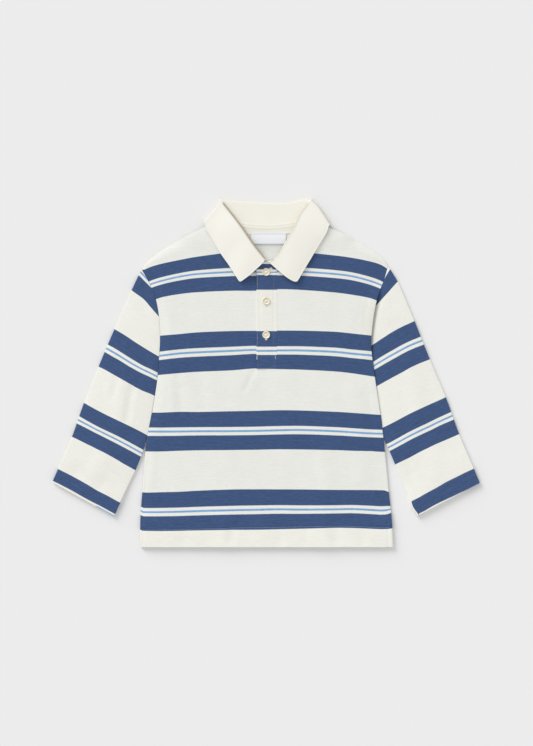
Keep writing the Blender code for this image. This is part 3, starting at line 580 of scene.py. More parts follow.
# ================================================================ materials
WALE = 0.95            # width of a column of the jersey's loops
COURSE = 0.72          # height of a loop
STRIPE_SOFT = 0.16     # half the width over which one colour of a stripe turns to the next
COLLAR_RIB = 1.1       # from rib to rib of the collar
COLLAR_LOOP = 0.9
LABEL_DASH = 1.6       # from dash to dash of the label's blue thread
LABEL_WEFT = 0.35
LABEL_WARP = 0.5


class Finish:
    """A material whose nodes are added one after another."""

    def __init__(self, name, roughness, sheen=0.0, specular=0.3):
        self.material = bpy.data.materials.new(name)
        self.material.use_nodes = True
        self.nodes = self.material.node_tree.nodes
        self.links = self.material.node_tree.links
        self.shader = self.nodes["Principled BSDF"]
        self.feed(self.shader, {"Roughness": roughness, "Specular IOR Level": specular,
                                "Sheen Weight": sheen, "Sheen Roughness": 0.6})

    def feed(self, node, inputs):
        """Sets values on inputs of a node, or links other nodes' outputs to them."""
        for key, value in inputs.items():
            if isinstance(value, bpy.types.NodeSocket):
                self.links.new(value, node.inputs[key])
            else:
                node.inputs[key].default_value = value

    def add(self, kind, inputs, **settings):
        node = self.nodes.new(kind)
        for key, value in settings.items():
            setattr(node, key, value)
        self.feed(node, inputs)
        return node

    def maths(self, operation, first, second=0.0, clamp=False):
        node = self.add("ShaderNodeMath", {0: first, 1: second}, operation=operation, use_clamp=clamp)
        return node.outputs[0]

    def plus(self, first, second):
        return self.maths("ADD", first, second)

    def times(self, first, second):
        return self.maths("MULTIPLY", first, second)

    def wave(self, value, length):
        return self.maths("SINE", self.times(value, 2.0 * math.pi / length))

    def cloth_place(self):
        """The place in the cloth, then its parts: across, down, and the tone."""
        place = self.add("ShaderNodeAttribute", {}, attribute_name="cloth_at").outputs["Vector"]
        return place, *self.add("ShaderNodeSeparateXYZ", {0: place}).outputs

    def object_place(self):
        return self.add("ShaderNodeTexCoord", {}).outputs["Object"]

    def stretched(self, vector, across, down, through=0.0):
        """The vector with its parts made longer or shorter."""
        node = self.add("ShaderNodeMapping", {"Vector": vector, "Scale": (across, down, through)})
        return node.outputs[0]

    def clouds(self, vector, scale, detail=2.0, roughness=0.5):
        node = self.add("ShaderNodeTexNoise", {"Vector": vector, "Scale": scale, "Detail": detail,
                                               "Roughness": roughness})
        return node.outputs["Fac"]

    def between(self, value, low, high):
        """The value, from 0 to 1, spread over low to high."""
        return self.add("ShaderNodeMapRange", {"Value": value, "To Min": low, "To Max": high}).outputs[0]

    def mix(self, share, first, second, blend="MIX"):
        node = self.add("ShaderNodeMix", {}, data_type="RGBA", blend_type=blend)
        self.feed(node, {0: share, 6: first, 7: second})
        return node.outputs[2]

    def ramp(self, value, stops):
        node = self.add("ShaderNodeValToRGB", {0: value})
        elements = node.color_ramp.elements
        while len(elements) < len(stops):
            elements.new(0.5)
        for element, (position, colour) in zip(elements, stops):
            element.position = position
            element.color = colour
        return node.outputs[0]

    def shade(self, colour, amount):
        """The colour made lighter or darker all over by a grey amount round 1."""
        return self.tint(colour, (amount, amount, amount))

    def tint(self, colour, amounts):
        """The colour with its red, green and blue made lighter or darker."""
        parts = self.add("ShaderNodeCombineColor", dict(enumerate(amounts)))
        return self.mix(1.0, colour, parts.outputs[0], "MULTIPLY")

    def toned(self, colour, tone, double, turned):
        """The colour warmed where the cloth is double, or by painted warm shade on a collar's stand,
        and darkened by painted shade where the tone is below 0.
        """
        colour = self.tint(colour, [self.between(tone, 1.0, full) for full in double])
        away = self.times(tone, -1.0)
        return self.tint(colour, [self.between(away, 1.0, full) for full in turned])

    def relief(self, height, distance, strength, **under):
        """A bump that is some millimetres high, over another one given as Normal."""
        node = self.add("ShaderNodeBump", {"Height": height, "Distance": distance * MM,
                                           "Strength": strength, **under})
        return node.outputs[0]

    def done(self, colour, **others):
        self.feed(self.shader, {"Base Color": colour, **others})
        return self.material


def knit_height(finish, across, down):
    """Height of plain knit: columns of V-shaped loops."""
    column = finish.times(across, 1.0 / WALE)
    leg = finish.maths("PINGPONG", column, 0.5)
    row = finish.times(down, 1.0 / COURSE)
    loop = finish.wave(finish.plus(row, finish.times(leg, 1.1)), 1.0)
    rib = finish.maths("POWER", finish.maths("ABSOLUTE", finish.wave(column, 1.0)), 0.6)
    return finish.plus(finish.times(loop, 0.3), finish.times(rib, 0.7))


def stripe_colour(finish, down):
    """The colour at a place down the cloth, by its place in the group of stripes."""
    repeat = finish.maths("FRACT", finish.plus(finish.times(down, 1.0 / PITCH), 10.0))
    white, blue, light = linear(JERSEY_WHITE), linear(STRIPE_BLUE), linear(STRIPE_LIGHT_BLUE)
    soft = STRIPE_SOFT / PITCH
    stops = [(0.0, blue)]
    for at, before, after in ((DARK_UPPER, blue, white), (LIGHT_UPPER, white, light),
                              (LIGHT_LOWER, light, white), (DARK_LOWER, white, blue),
                              (GROUP, blue, white)):
        stops += [(at / PITCH - soft, before), (at / PITCH + soft, after)]
    stops += [(1.0 - 2.0 * soft, white), (1.0, blue)]
    return finish.ramp(repeat, stops)


def jersey():
    """Striped cotton jersey. Its stripes and its knit follow the cloth."""
    finish = Finish("striped_jersey", roughness=0.9, sheen=0.12, specular=0.2)
    place, across, down, tone = finish.cloth_place()
    # The edge of a stripe steps from loop to loop.
    teeth = finish.clouds(finish.stretched(place, 1.0, 0.25), 1.4, 1.0)
    colour = stripe_colour(finish, finish.plus(down, finish.between(teeth, -0.22, 0.22)))
    # Slubs run along the courses, and the dark dye takes less evenly than the white.
    parts = finish.add("ShaderNodeSeparateColor", {0: colour})
    dark = finish.maths("SUBTRACT", 0.85, parts.outputs[0], clamp=True)
    slub = finish.clouds(finish.stretched(place, 0.16, 0.7), 1.0, 3.0, 0.6)
    long_slub = finish.clouds(finish.stretched(place, 0.035, 0.8), 1.0, 3.0, 0.6)
    blotch = finish.clouds(finish.stretched(place, 0.05, 0.05), 1.0, 3.0)
    fleck = finish.clouds(finish.stretched(place, 1.1, 1.6), 1.0, 2.0, 0.7)
    streak = finish.plus(finish.between(slub, -0.5, 0.5), finish.between(long_slub, -0.4, 0.4))
    streak = finish.plus(streak, finish.between(fleck, -0.5, 0.5))
    strength = finish.plus(finish.times(dark, 0.9), 0.062)
    uneven = finish.plus(finish.times(streak, strength), finish.between(blotch, 0.97, 1.03))
    # Painted shade: where the tone is below 0 the jersey darkens at rolled edges, on the edge that stands
    # up beside the wearer's left sleeve, and on that sleeve beside it.
    colour = finish.toned(finish.shade(colour, uneven), tone, DOUBLE_WARMTH, EDGE_PAINTED_SHADE)
    fuzz = finish.clouds(place, 2.6, 3.0, 0.7)
    height = finish.plus(knit_height(finish, across, down), finish.times(fuzz, 0.5))
    knit = finish.relief(height, 0.12, 0.6)
    return finish.done(colour, Normal=finish.relief(slub, 0.35, 0.5, Normal=knit))


def collar_knit():
    """Close rib knit of the collar, its ribs running from the seam to the edge."""
    finish = Finish("collar_knit", roughness=0.88, sheen=0.15, specular=0.2)
    place, across, down, tone = finish.cloth_place()
    ribs = finish.times(finish.wave(across, COLLAR_RIB), 0.5)
    loops = finish.times(finish.wave(down, COLLAR_LOOP), 0.25)
    fuzz = finish.times(finish.clouds(place, 2.2, 3.0, 0.7), 0.6)
    height = finish.plus(finish.plus(ribs, loops), fuzz)
    blotch = finish.clouds(finish.stretched(place, 0.06, 0.06), 1.0, 3.0)
    fleck = finish.clouds(finish.stretched(place, 1.6, 1.2), 1.0, 2.0, 0.7)
    uneven = finish.plus(finish.between(blotch, 0.985, 1.015), finish.between(fleck, -0.03, 0.03))
    colour = finish.shade(linear(COLLAR_WHITE), uneven)
    # Painted shade: warm on the stand and tape, brown deep in the folds.
    colour = finish.toned(colour, tone, STAND_PAINTED_WARM_SHADE, LEAF_FOLD_PAINTED_SHADE)
    return finish.done(colour, Normal=finish.relief(height, 0.1, 0.6))


def satin_label():
    """Woven satin of the bare label, with a dashed thread line along two edges."""
    finish = Finish("satin_label", roughness=0.5, sheen=0.1, specular=0.4)
    place, across, down, edge = finish.cloth_place()
    repeat = finish.maths("FRACT", finish.times(across, 1.0 / LABEL_DASH))
    dash = finish.maths("GREATER_THAN", repeat, 0.42)
    colour = finish.mix(finish.times(edge, dash), linear(LABEL_WHITE), linear(LABEL_BLUE))
    colour = finish.shade(colour, finish.between(finish.clouds(place, 1.5, 3.0), 0.97, 1.02))
    weft = finish.wave(down, LABEL_WEFT)
    warp = finish.times(finish.wave(across, LABEL_WARP), 0.5)
    return finish.done(colour, Normal=finish.relief(finish.plus(weft, warp), 0.04, 0.5))


def sewing_thread(name, colour):
    """Twisted polyester thread with a slight gloss."""
    finish = Finish(name, roughness=0.55, sheen=0.2, specular=0.4)
    place = finish.object_place()
    twist = finish.add("ShaderNodeTexWave", {"Vector": place, "Scale": 900.0, "Distortion": 1.0},
                       wave_type="BANDS", bands_direction="DIAGONAL")
    tone = finish.clouds(place, 400.0)
    shaded = finish.shade(linear(colour), finish.between(tone, 0.93, 1.03))
    return finish.done(shaded, Normal=finish.relief(twist.outputs["Fac"], 0.06, 0.6))


def button_shell():
    """Moulded shell-like button: cloudy cream with a soft gloss."""
    finish = Finish("button_shell", roughness=0.32, specular=0.5)
    finish.feed(finish.shader, {"Coat Weight": 0.25, "Coat Roughness": 0.15, "Subsurface Weight": 0.1,
                                "Subsurface Radius": (0.002, 0.0015, 0.001), "Subsurface Scale": 0.5})
    place = finish.object_place()
    cloud = finish.clouds(finish.stretched(place, 1.0, 2.5, 1.0), 260.0, 4.0, 0.6)
    colour = finish.mix(finish.between(cloud, 0.0, 0.7), linear(SHELL_CREAM), linear(SHELL_CLOUD))
    rough = finish.between(finish.clouds(place, 900.0, 3.0), 0.24, 0.42)
    return finish.done(colour, Normal=finish.relief(cloud, 0.05, 0.3), Roughness=rough)


def floor_paint():
    finish = Finish("floor_paint", roughness=0.85, specular=0.1)
    tone = finish.clouds(finish.object_place(), 3.0, 2.0)
    colour = finish.shade(linear(FLOOR_GREY), finish.between(tone, 0.998, 1.002))
    return finish.done(colour)


JERSEY = jersey()
COLLAR_KNIT = collar_knit()
SATIN = satin_label()
WHITE_THREAD = sewing_thread("white_thread", THREAD_WHITE)
BLUE_THREAD = sewing_thread("blue_thread", THREAD_BLUE)
HEM_THREAD = sewing_thread("hem_thread", THREAD_HEM)
CREAM_THREAD = sewing_thread("cream_thread", THREAD_CREAM)
BUTTON_THREAD = sewing_thread("button_thread", THREAD_BRIGHT)
SHADED_TAN_THREAD = sewing_thread("shaded_tan_thread", THREAD_TAN_SHADED)
SHELL = button_shell()


# ================================================================ stripes
def between_lines(lines, at):
    """Place in the cloth from lines of (place in the cloth, height), highest first."""
    if at >= lines[0][1]:
        return lines[0][0] - (at - lines[0][1])
    for (down_a, high), (down_b, low) in zip(lines, lines[1:]):
        if at >= low:
            return lerp(down_a, down_b, (high - at) / (high - low))
    return lines[-1][0] + lines[-1][1] - at


def front_stripe(x, y):
    x = min(max(x, STRIPE_X[0]), STRIPE_X[-1])
    return between_lines([(down, smooth(STRIPE_X, heights, x)) for down, heights in FRONT_STRIPES], y)


def back_stripe(x, y):
    """The back's stripes meet the front's at the sides and bow less between them."""
    x = min(max(x, STRIPE_X[0]), STRIPE_X[-1])
    lines = []
    for down, heights in FRONT_STRIPES:
        side = lerp(heights[0], heights[-1], (x - STRIPE_X[0]) / (STRIPE_X[-1] - STRIPE_X[0]))
        lines.append((down, lerp(side, smooth(STRIPE_X, heights, x), BACK_BOW)))
    return between_lines(lines, y)


def sleeve_frame(side):
    """Directions across and down the sleeve, seen from above."""
    across = Vector(ACROSS_SLEEVE[side]).normalized()
    down = Vector((-side * across.y, side * across.x))
    return across, down if down.y < 0 else -down


def sleeve_cloth(side, x, y, tone):
    """The place in the cloth of a sleeve and its tone. Before the first of the lines'
    places they run straight on."""
    across, down = sleeve_frame(side)
    at = x * across.x + y * across.y
    high = -(x * down.x + y * down.y)
    held = min(max(at, SLEEVE_X[0]), SLEEVE_X[-1])
    past = min(0.0, at - SLEEVE_X[0]) / (SLEEVE_X[1] - SLEEVE_X[0])
    lines = [(place, -smooth(SLEEVE_X, lengths, held) - past * (lengths[1] - lengths[0]))
             for place, lengths in SLEEVE_STRIPES[side]]
    return at, between_lines(lines, high), tone


# ================================================================ the body's outline and levels
def half_width(side, y):
    return smooth(BODY_Y, BODY_HALF_WIDTH[side], y)


def edge_to_shoulder(side, start_y):
    """The body's edge from a height up to the shoulder tip, as half widths and heights."""
    points = [(half_width(side, start_y), start_y)]
    points += [(wide, y) for y, wide in zip(BODY_Y, BODY_HALF_WIDTH[side]) if y > PLACKET_BASE_Y]
    return points + [SHOULDER_TIP[side]]


def body_edge(side, share):
    """Place on the body's edge from the placket's base level to the shoulder tip."""
    x, y = along(edge_to_shoulder(side, PLACKET_BASE_Y), share)
    return side * x, y


def sewn_to_sleeve(y):
    """1 where the body's edge is sewn to the sleeve, 0 below the armpit."""
    return smoothstep((y - BESIDE_BODY_Y[0] + 8.0) / 14.0)


def shoulder_lift(share):
    return SHOULDER_BOW * min(1.0, max(share, 0.0) / 0.6) ** 0.8 * (1.0 - share ** 14)


def climb(slope, x, y):
    """0 where a panel lies low, 1 where it lies over the collar's fall."""
    start = slope["start"] + SLOPE_DELAY * (x / SLOPE_REACH) ** 4
    return smoothstep((y - start) / slope["length"])


def back_under(x, y):
    return NECK_LIFT * climb(BACK_SLOPE, x, y)


def hem_share(y):
    return smoothstep((HEM_TOP_Y + HEM_SLOPE - y) / HEM_SLOPE)


def in_hem(y):
    return y < HEM_TOP_Y


def body_wall(y):
    return CLOTH + (HEM_PLY if in_hem(y) else 0.0)


def back_over(x, y):
    return back_under(x, y) + body_wall(y)


def front_over(x, y, edge):
    rise = climb(FRONT_SLOPE, x, y)
    hem = hem_share(y)
    level = 2.0 * CLOTH + GAP + NECK_LIFT * rise + 2.0 * HEM_PLY * hem
    inside = 1.0 - edge ** 6
    crown = CROWN * (1.0 - 0.8 * rise) * (1.0 - 0.7 * hem)
    return level + inside * (crown + ridges(FRONT_FOLDS, x, y))


# ================================================================ front
BY_PLACKET = (0.0, 0.4, 0.9, 1.6, 2.6, 4.0)    # fine columns beside the placket, by their distance
BY_SIDE = {                                    # fine columns beside the rolled edge
    WEARERS_RIGHT: (9.0, 6.5, 4.6, 3.2, 2.6, 1.9),
    WEARERS_LEFT: (9.5, 7.2, 5.4, 4.8, 3.4, 2.2),
}
MIDDLE_STEPS = 46      # even columns between them
FLAT_STEPS = len(BY_PLACKET) + MIDDLE_STEPS + len(BY_SIDE[WEARERS_LEFT]) - 1
ROLL_STEPS = 6         # columns round the rolled edge
SIDE_COLUMNS = FLAT_STEPS + ROLL_STEPS
STRIP_COLUMNS = 12
FRONT_COLUMNS = 2 * SIDE_COLUMNS + STRIP_COLUMNS
FINE = 8               # rows for each row of the CAD above the placket's base
HIGH_ROWS = 12 * FINE
NOTCH_ROWS = 7 * FINE
NECK_ROWS = 5 * FINE
ROLL_REACH = 1.15      # width of the fold at the side seam and the shoulder, seen from above
HEM_ROLL_REACH = 1.9   # the same over the two plies of the hem
SHOULDER_DROP = 1.9
FOLDED_EDGE_Z = 0.5    # where the fold at the side seam ends, beside the back
SEAM_DIP = {WEARERS_RIGHT: 0.2, WEARERS_LEFT: 0.35}     # depth of the armhole seam
HEM_DROP_BELOW = 0.35  # the hem hangs this much past the solids' edge
HEM_FLARE = {WEARERS_RIGHT: 0.0, WEARERS_LEFT: 0.6}      # wider than the solids, at the hem
NOTCH_X = {WEARERS_RIGHT: -8.9, WEARERS_LEFT: 12.75}
NOTCH_BASE_Y = PLACKET_BASE_Y - 0.05
SEAM_BAND = 10.0       # width of the side seam's allowance, which lies doubled inside
SEAM_BAND_HEIGHT = 0.32
SEAM_BAND_TOP_Y = 100.0
SEAM_BAND_TONE = 0.4   # how double it looks
LEFT_SHOULDER_PAINTED_SHADE = 0.3    # strength of the painted shade on the wearer's left shoulder fold, beside the right one
FRONT_DRAPE = 0.42     # height of the uneven drape
CALM = 12.0            # no uneven drape this near the placket's middle, from this far below its base
FULL_LEAN = 0.98       # of the wall at the end of a fold: 0 stands upright, 1 lies level
SEWN_LEAN = 0.2        # the same where the edge is sewn to the sleeve
SIDE_SEAM = {WEARERS_RIGHT: 2.9, WEARERS_LEFT: 5.1}     # from the edge to the seam near the hem
SEAM_RISE_Y = (-200.0, -185.0, -170.0, -163.0, -159.0, -153.0, -145.0, -135.0, -118.0)
SEAM_RISE = {          # how far the stripes rise beyond that seam, by height
    WEARERS_RIGHT: (0.8, 1.0, 1.3, 1.3, 1.3, 1.2, 0.6, 0.1, 0.0),
    WEARERS_LEFT: (0.2, 0.3, 1.4, 1.7, 1.4, -0.1, -0.8, -1.6, 0.0),
}
SEAM_RISE_WIDTH = {WEARERS_RIGHT: 2.0, WEARERS_LEFT: 4.5}
# The line sewn round the hem lies this far above the base of the lowest blue stripe.
HEM_LINE_X = (-146.0, -110.0, -60.0, -30.0, 0.0, 60.0, 146.0)
HEM_LINE = (0.7, 1.2, 1.6, 2.2, 2.4, 2.0, 1.6)
# How far the wearer's left edge of the front stands up beside the sleeve, by height.
PROUD_Y = (-205.0, -110.0, -80.0, -60.0, -20.0, 10.0, 30.0, 62.0, 88.0, 102.0, 116.0)
PROUD = (0.0, 0.0, 0.7, 1.2, 1.4, 1.6, 2.2, 2.3, 1.7, 0.5, 0.1)
PROUD_WIDTH = 17.0
# strength of the painted shade on the edge that stands up
PROUD_PAINTED_SHADE = 0.46
RIGHT_PROUD = 0.2      # the wearer's right edge hardly stands up


def roll_reach(y):
    return lerp(ROLL_REACH, HEM_ROLL_REACH, smoothstep((HEM_TOP_Y + 12.0 - y) / 12.0))


def front_rows():
    """Rows of the front's grid: y below the placket's base, else None, the CAD's
    row above it, the distance from the shoulder line, and the step round its fold."""
    heights = [HEM_Y - HEM_DROP_BELOW] + spaced(HEM_Y, HEM_TOP_Y - 0.6, 14)
    heights += [HEM_TOP_Y - 0.1, HEM_TOP_Y + 0.5, HEM_TOP_Y + 1.2]
    heights += spaced(heights[-1], NOTCH_BASE_Y, 108)
    rows = [(y, 0.0, FAR, 0) for y in heights]
    rows += [(None, high, FAR, 0) for high in range(1, HIGH_ROWS - 1)]
    for k in range(ROLL_STEPS + 1):
        left = 1.0 - pressed_fold(k, ROLL_STEPS)[0]
        rows.append((None, HIGH_ROWS - left, ROLL_REACH * left, k))
    return rows


FRONT_ROW_TABLE = front_rows()
FRONT_ROWS = len(FRONT_ROW_TABLE) - 1
LOW_ROWS = sum(row[0] is not None for row in FRONT_ROW_TABLE) - 1


def neckline_corner(side):
    x = abs(NOTCH_X[side])
    return x, smooth([p[0] for p in NECKLINE], [p[1] for p in NECKLINE], x)


def front_ends(side, row):
    """Inner and outer end of a grid row on one side of the placket."""
    y, high, _, _ = FRONT_ROW_TABLE[row]
    if y is not None:
        flare = HEM_FLARE[side] * smoothstep((-140.0 - y) / 40.0)
        return (NOTCH_X[side], y), (side * (half_width(side, max(y, HEM_Y)) + flare), y)
    outer = body_edge(side, high / HIGH_ROWS)
    corner = neckline_corner(side)
    if high <= NOTCH_ROWS:
        return (NOTCH_X[side], lerp(NOTCH_BASE_Y, corner[1], high / NOTCH_ROWS)), outer
    rest = [corner] + [p for p in NECKLINE if p[0] > corner[0] + 3.0]
    x, y = along(rest, (high - NOTCH_ROWS) / NECK_ROWS)
    return (side * x, y), outer


def front_share(side, steps, length, reach):
    """Share of the way to the side after some columns."""
    if steps > FLAT_STEPS:
        out = pressed_fold(steps - FLAT_STEPS, ROLL_STEPS)[0]
        return 1.0 - reach / length * (1.0 - out)
    if steps < len(BY_PLACKET):
        return BY_PLACKET[steps] / length
    beside = FLAT_STEPS - steps
    if beside < len(BY_SIDE[side]):
        return 1.0 - (reach + BY_SIDE[side][-1 - beside] - BY_SIDE[side][-1]) / length
    first = BY_PLACKET[-1] / length
    last = 1.0 - (reach + BY_SIDE[side][0] - BY_SIDE[side][-1]) / length
    return lerp(first, last, (steps - len(BY_PLACKET) + 1) / (MIDDLE_STEPS + 1))


def seam_relief(side, y, from_side):
    """The doubled seam allowance inside the side seam, seen as a low band. Its width
    and its height waver along the seam."""
    if y > SEAM_BAND_TOP_Y:
        return 0.0
    wide = SEAM_BAND + 1.5 * math.sin(y / 23.0 + side)
    band = smoothstep((wide + 5.0 - from_side) / 6.0)
    height = SEAM_BAND_HEIGHT + 0.1 * math.sin(y / 31.0 + 2.0 * side)
    return height * band * smoothstep((y + 205.0) / 20.0)


def hem_line_y(x):
    held = min(max(x, STRIPE_X[0]), STRIPE_X[-1])
    return smooth(STRIPE_X, FRONT_STRIPES[-1][1], held) + smooth(HEM_LINE_X, HEM_LINE, x)


def low_seam(y):
    """1 where the side seam shows beside the edge, 0 above."""
    return smoothstep((-88.0 - y) / 14.0)


def front_relief(side, x, y, from_side):
    """What the cloth's own drape and the places sewn to it add to the level."""
    calm = smoothstep((from_side - 2.0) / 14.0)
    if y > PLACKET_BASE_Y - CALM:
        beside = smoothstep((abs(x) - CALM) / 12.0)
        calm *= lerp(1.0, beside, smoothstep((y - PLACKET_BASE_Y + CALM) / 10.0))
    stitched = low_seam(y) * sewn_in("side_seam", from_side - SIDE_SEAM[side])
    if y < HEM_TOP_Y + 8.0:
        stitched += sewn_in("hem", y - hem_line_y(x))
    drape = FRONT_DRAPE * ripple(x, y, 34.0, DRAPE_SEED["front"])
    return calm * drape + seam_relief(side, y, from_side) - stitched


def proud_at(y):
    return smooth(PROUD_Y, PROUD, min(y, PROUD_Y[-1]))


def stand_proud(side, y, from_side):
    """The body's edge stands above the sleeve on the wearer's left."""
    if side == WEARERS_RIGHT:
        return RIGHT_PROUD * smoothstep((y + 5.0) / 30.0) * smoothstep((12.0 - from_side) / 12.0)
    return proud_at(y) * smoothstep((PROUD_WIDTH - from_side) / PROUD_WIDTH)


def proud_painted_shade(y, from_side):
    """Painted shade over the single ply that stands up there, darkening it where it faces the light."""
    return PROUD_PAINTED_SHADE * proud_at(y) / max(PROUD) * smoothstep((PROUD_WIDTH - from_side) / 8.0)


def front_spot(column, row):
    """Where a place of the grid lies, seen from above: its side, x, y, how near an
    edge it is from 0 to 1, its distance from the side, and the step round the fold there."""
    y_low, high, _, _ = FRONT_ROW_TABLE[row]
    near_shoulder = 0.0
    if y_low is None:
        near_shoulder = smoothstep((high - HIGH_ROWS + 2 * FINE) / (2.0 * FINE))
    if SIDE_COLUMNS < column < SIDE_COLUMNS + STRIP_COLUMNS:
        share = (column - SIDE_COLUMNS) / STRIP_COLUMNS
        x = lerp(NOTCH_X[WEARERS_RIGHT], NOTCH_X[WEARERS_LEFT], share)
        y = FRONT_ROW_TABLE[min(row, LOW_ROWS)][0]
        return WEARERS_LEFT, x, y, near_shoulder, FAR, 0
    side = WEARERS_RIGHT if column <= SIDE_COLUMNS else WEARERS_LEFT
    steps = SIDE_COLUMNS - column if side == WEARERS_RIGHT else column - SIDE_COLUMNS - STRIP_COLUMNS
    inner, outer = front_ends(side, row)
    length = math.dist(inner, outer)
    share = front_share(side, steps, length, roll_reach(outer[1]))
    fade = smoothstep((high - HIGH_ROWS + 4 * FINE) / (4.0 * FINE))
    x, y = lerp_point(inner, outer, share)
    y += shoulder_lift(share) * fade
    return side, x, y, max(share, near_shoulder), (1.0 - share) * length, max(0, steps - FLAT_STEPS)


def front_cloth(side, x, y, from_side, turned):
    """The place in the cloth and its tone, with painted shade where the edges turn at the folds and where
    the edge stands up.
    """
    down = front_stripe(x, y)
    if y < SEAM_RISE_Y[-1]:
        beyond = min(1.0, max(0.0, (SIDE_SEAM[side] - from_side) / SEAM_RISE_WIDTH[side]))
        down += beyond * smooth(SEAM_RISE_Y, SEAM_RISE[side], max(y, SEAM_RISE_Y[0]))
    double = 1.0
    if not in_hem(y):
        double = SEAM_BAND_TONE * smoothstep((SEAM_BAND + 3.0 - from_side) / 5.0)
    # Painted shade: on the wearer's right the rolled side edge and the shoulder fold darken; on the
    # wearer's left the shoulder fold faintly, and the ply that stands up beside the sleeve.
    side_turned, up_turned = turned
    if side == WEARERS_RIGHT:
        return x, down, lerp(double, -1.0, max(up_turned, side_turned))
    return x, down, lerp(double, -1.0, max(LEFT_SHOULDER_PAINTED_SHADE * up_turned, proud_painted_shade(y, from_side)))


def front_place(column, row):
    side, x, y, edge, from_side, side_steps = front_spot(column, row)
    _, _, from_shoulder, up_steps = FRONT_ROW_TABLE[row]
    level = front_over(x, y, edge) + front_relief(side, x, y, min(from_side, from_shoulder))
    level += stand_proud(side, y, from_side)
    # The edge folds down to the back at the side and the shoulder, and hardly at the armhole.
    sewn = sewn_to_sleeve(y)
    depth = lerp(level - FOLDED_EDGE_Z, SEAM_DIP[side], sewn)
    _, side_down, side_turned = pressed_fold(side_steps, ROLL_STEPS)
    _, up_down, up_turned = pressed_fold(up_steps, ROLL_STEPS)
    drop = max(depth * side_down, SHOULDER_DROP * up_down)
    lean = Vector((side * side_turned * lerp(FULL_LEAN, SEWN_LEAN, sewn), up_turned * FULL_LEAN, 0.0))
    if lean.length > FULL_LEAN:
        lean *= FULL_LEAN / lean.length
    normal = Vector((lean.x, lean.y, math.sqrt(1.0 - lean.length_squared)))
    outer = Vector((x, y, level - drop))
    cloth_at = front_cloth(side, x, y, from_side, (side_turned, up_turned))
    return outer, outer - normal * body_wall(y), cloth_at


def in_front(column, row):
    beside = column < SIDE_COLUMNS or column >= SIDE_COLUMNS + STRIP_COLUMNS
    return beside or row < LOW_ROWS


# ================================================================ back
BACK_SHOULDER_COLUMNS = 30
BACK_NECK_COLUMNS = 40
BACK_COLUMNS = 2 * BACK_SHOULDER_COLUMNS + BACK_NECK_COLUMNS
BACK_INSET = 1.2       # the back's edge lies inside the front's folded edge
HEM_BACK_INSET = 2.0
SEWN_BACK_INSET = 0.25


def back_rows():
    """Rows of the back's grid: y below the placket's base, then shares of the way up."""
    heights = [HEM_Y] + spaced(HEM_Y, HEM_TOP_Y - 0.6, 7)
    heights += [HEM_TOP_Y + 0.6] + spaced(HEM_TOP_Y + 0.6, PLACKET_BASE_Y, 50)
    rows = [(y, 0.0) for y in heights]
    rows += [(None, share) for share in spaced(0.0, 0.77, 28) + spaced(0.77, 1.0, 22)]
    return rows


BACK_ROW_TABLE = back_rows()
BACK_ROWS = len(BACK_ROW_TABLE) - 1


def back_neck_y(x):
    reach, side_y = NECKLINE[-1]
    return lerp(BACK_NECK_Y, side_y, (x / reach) ** 2)


def back_side(column):
    return WEARERS_RIGHT if column < BACK_COLUMNS / 2 else WEARERS_LEFT


def back_top(column):
    """Place on the shoulder line or the back neckline."""
    neck_x, neck_y = NECKLINE[-1]
    from_edge = min(column, BACK_COLUMNS - column)
    if from_edge > BACK_SHOULDER_COLUMNS:
        share = (column - BACK_SHOULDER_COLUMNS) / BACK_NECK_COLUMNS
        x = lerp(-neck_x, neck_x, share)
        return x, back_neck_y(x)
    side = back_side(column)
    share = 1.0 - from_edge / BACK_SHOULDER_COLUMNS
    tip_x, tip_y = SHOULDER_TIP[side]
    x, y = lerp_point((side * neck_x, neck_y), (side * tip_x, tip_y), share)
    return x, y + shoulder_lift(share) - BACK_INSET * smoothstep(share / 0.1)


def back_place(column, row):
    side = back_side(column)
    top = back_top(column)
    across = top[0] / (side * SHOULDER_TIP[side][0])
    y, share = BACK_ROW_TABLE[row]
    if y is not None:
        x = side * half_width(side, y) * across
    else:
        edge, start, end = (body_edge(side, at) for at in (share, 0.0, 1.0))
        bow_x = edge[0] - lerp(start[0], end[0], share)
        bow_y = edge[1] - lerp(start[1], end[1], share)
        x = lerp(start[0] * across, top[0], share) + bow_x * across
        y = lerp(start[1], top[1], share) + bow_y * across
    hem = smoothstep((HEM_TOP_Y + 4.0 - y) / 4.0)
    inset = lerp(lerp(BACK_INSET, HEM_BACK_INSET, hem), SEWN_BACK_INSET, sewn_to_sleeve(y))
    x -= side * inset * abs(across) ** 8
    double = 1.0 if in_hem(y) else 0.0
    return (x, y, back_under(x, y)), (x, y, back_over(x, y)), (x, back_stripe(x, y), double)


# ================================================================ sleeves
SLEEVE_FLAT = 44       # columns across each ply
SLEEVE_ARC = 10        # columns round each fold
SLEEVE_COLUMNS = 2 * (SLEEVE_FLAT + SLEEVE_ARC)
BOW_SHARE = 7.0 / 15.0     # of the length, over which the curve of the armhole fades
SLEEVE_LENGTH = 245.0
CUFF_RISE = 0.17       # of the length, over which the sleeve rises to its cuff
UPPER_PLY_TONE = 0.8   # how double the flattened sleeve looks above its cuff hem
SEAM_GAP = 0.12        # between sleeve and body along the armhole seam
BESIDE_GAP = 0.15      # between the underarm edge and the body's side
FOLD_REACH = 0.7       # width of the sleeve's folds, seen from above
INNER_FOLD_REACH = 0.12
SLEEVE_DRAPE = 0.4     # height of the uneven drape
CUFF_PLY_SHARE = 0.943     # where the turned-in ply of the cuff starts
CUFF_LINE = 2 * PITCH + 1.4     # the line sewn round the cuff lies here in the stripes
RIM_SHARE = 0.995      # beyond it lies the cuff's folded edge
RIM_SHIFT = 3.2        # in the stripes, of that edge on the wearer's right
TUCKED_SHADE_WIDTH = 6.4     # of the painted shade where the wearer's left sleeve goes down beside the body
UNDERLAP = 2.7         # how far the wearer's left cuff laps out white at the underarm
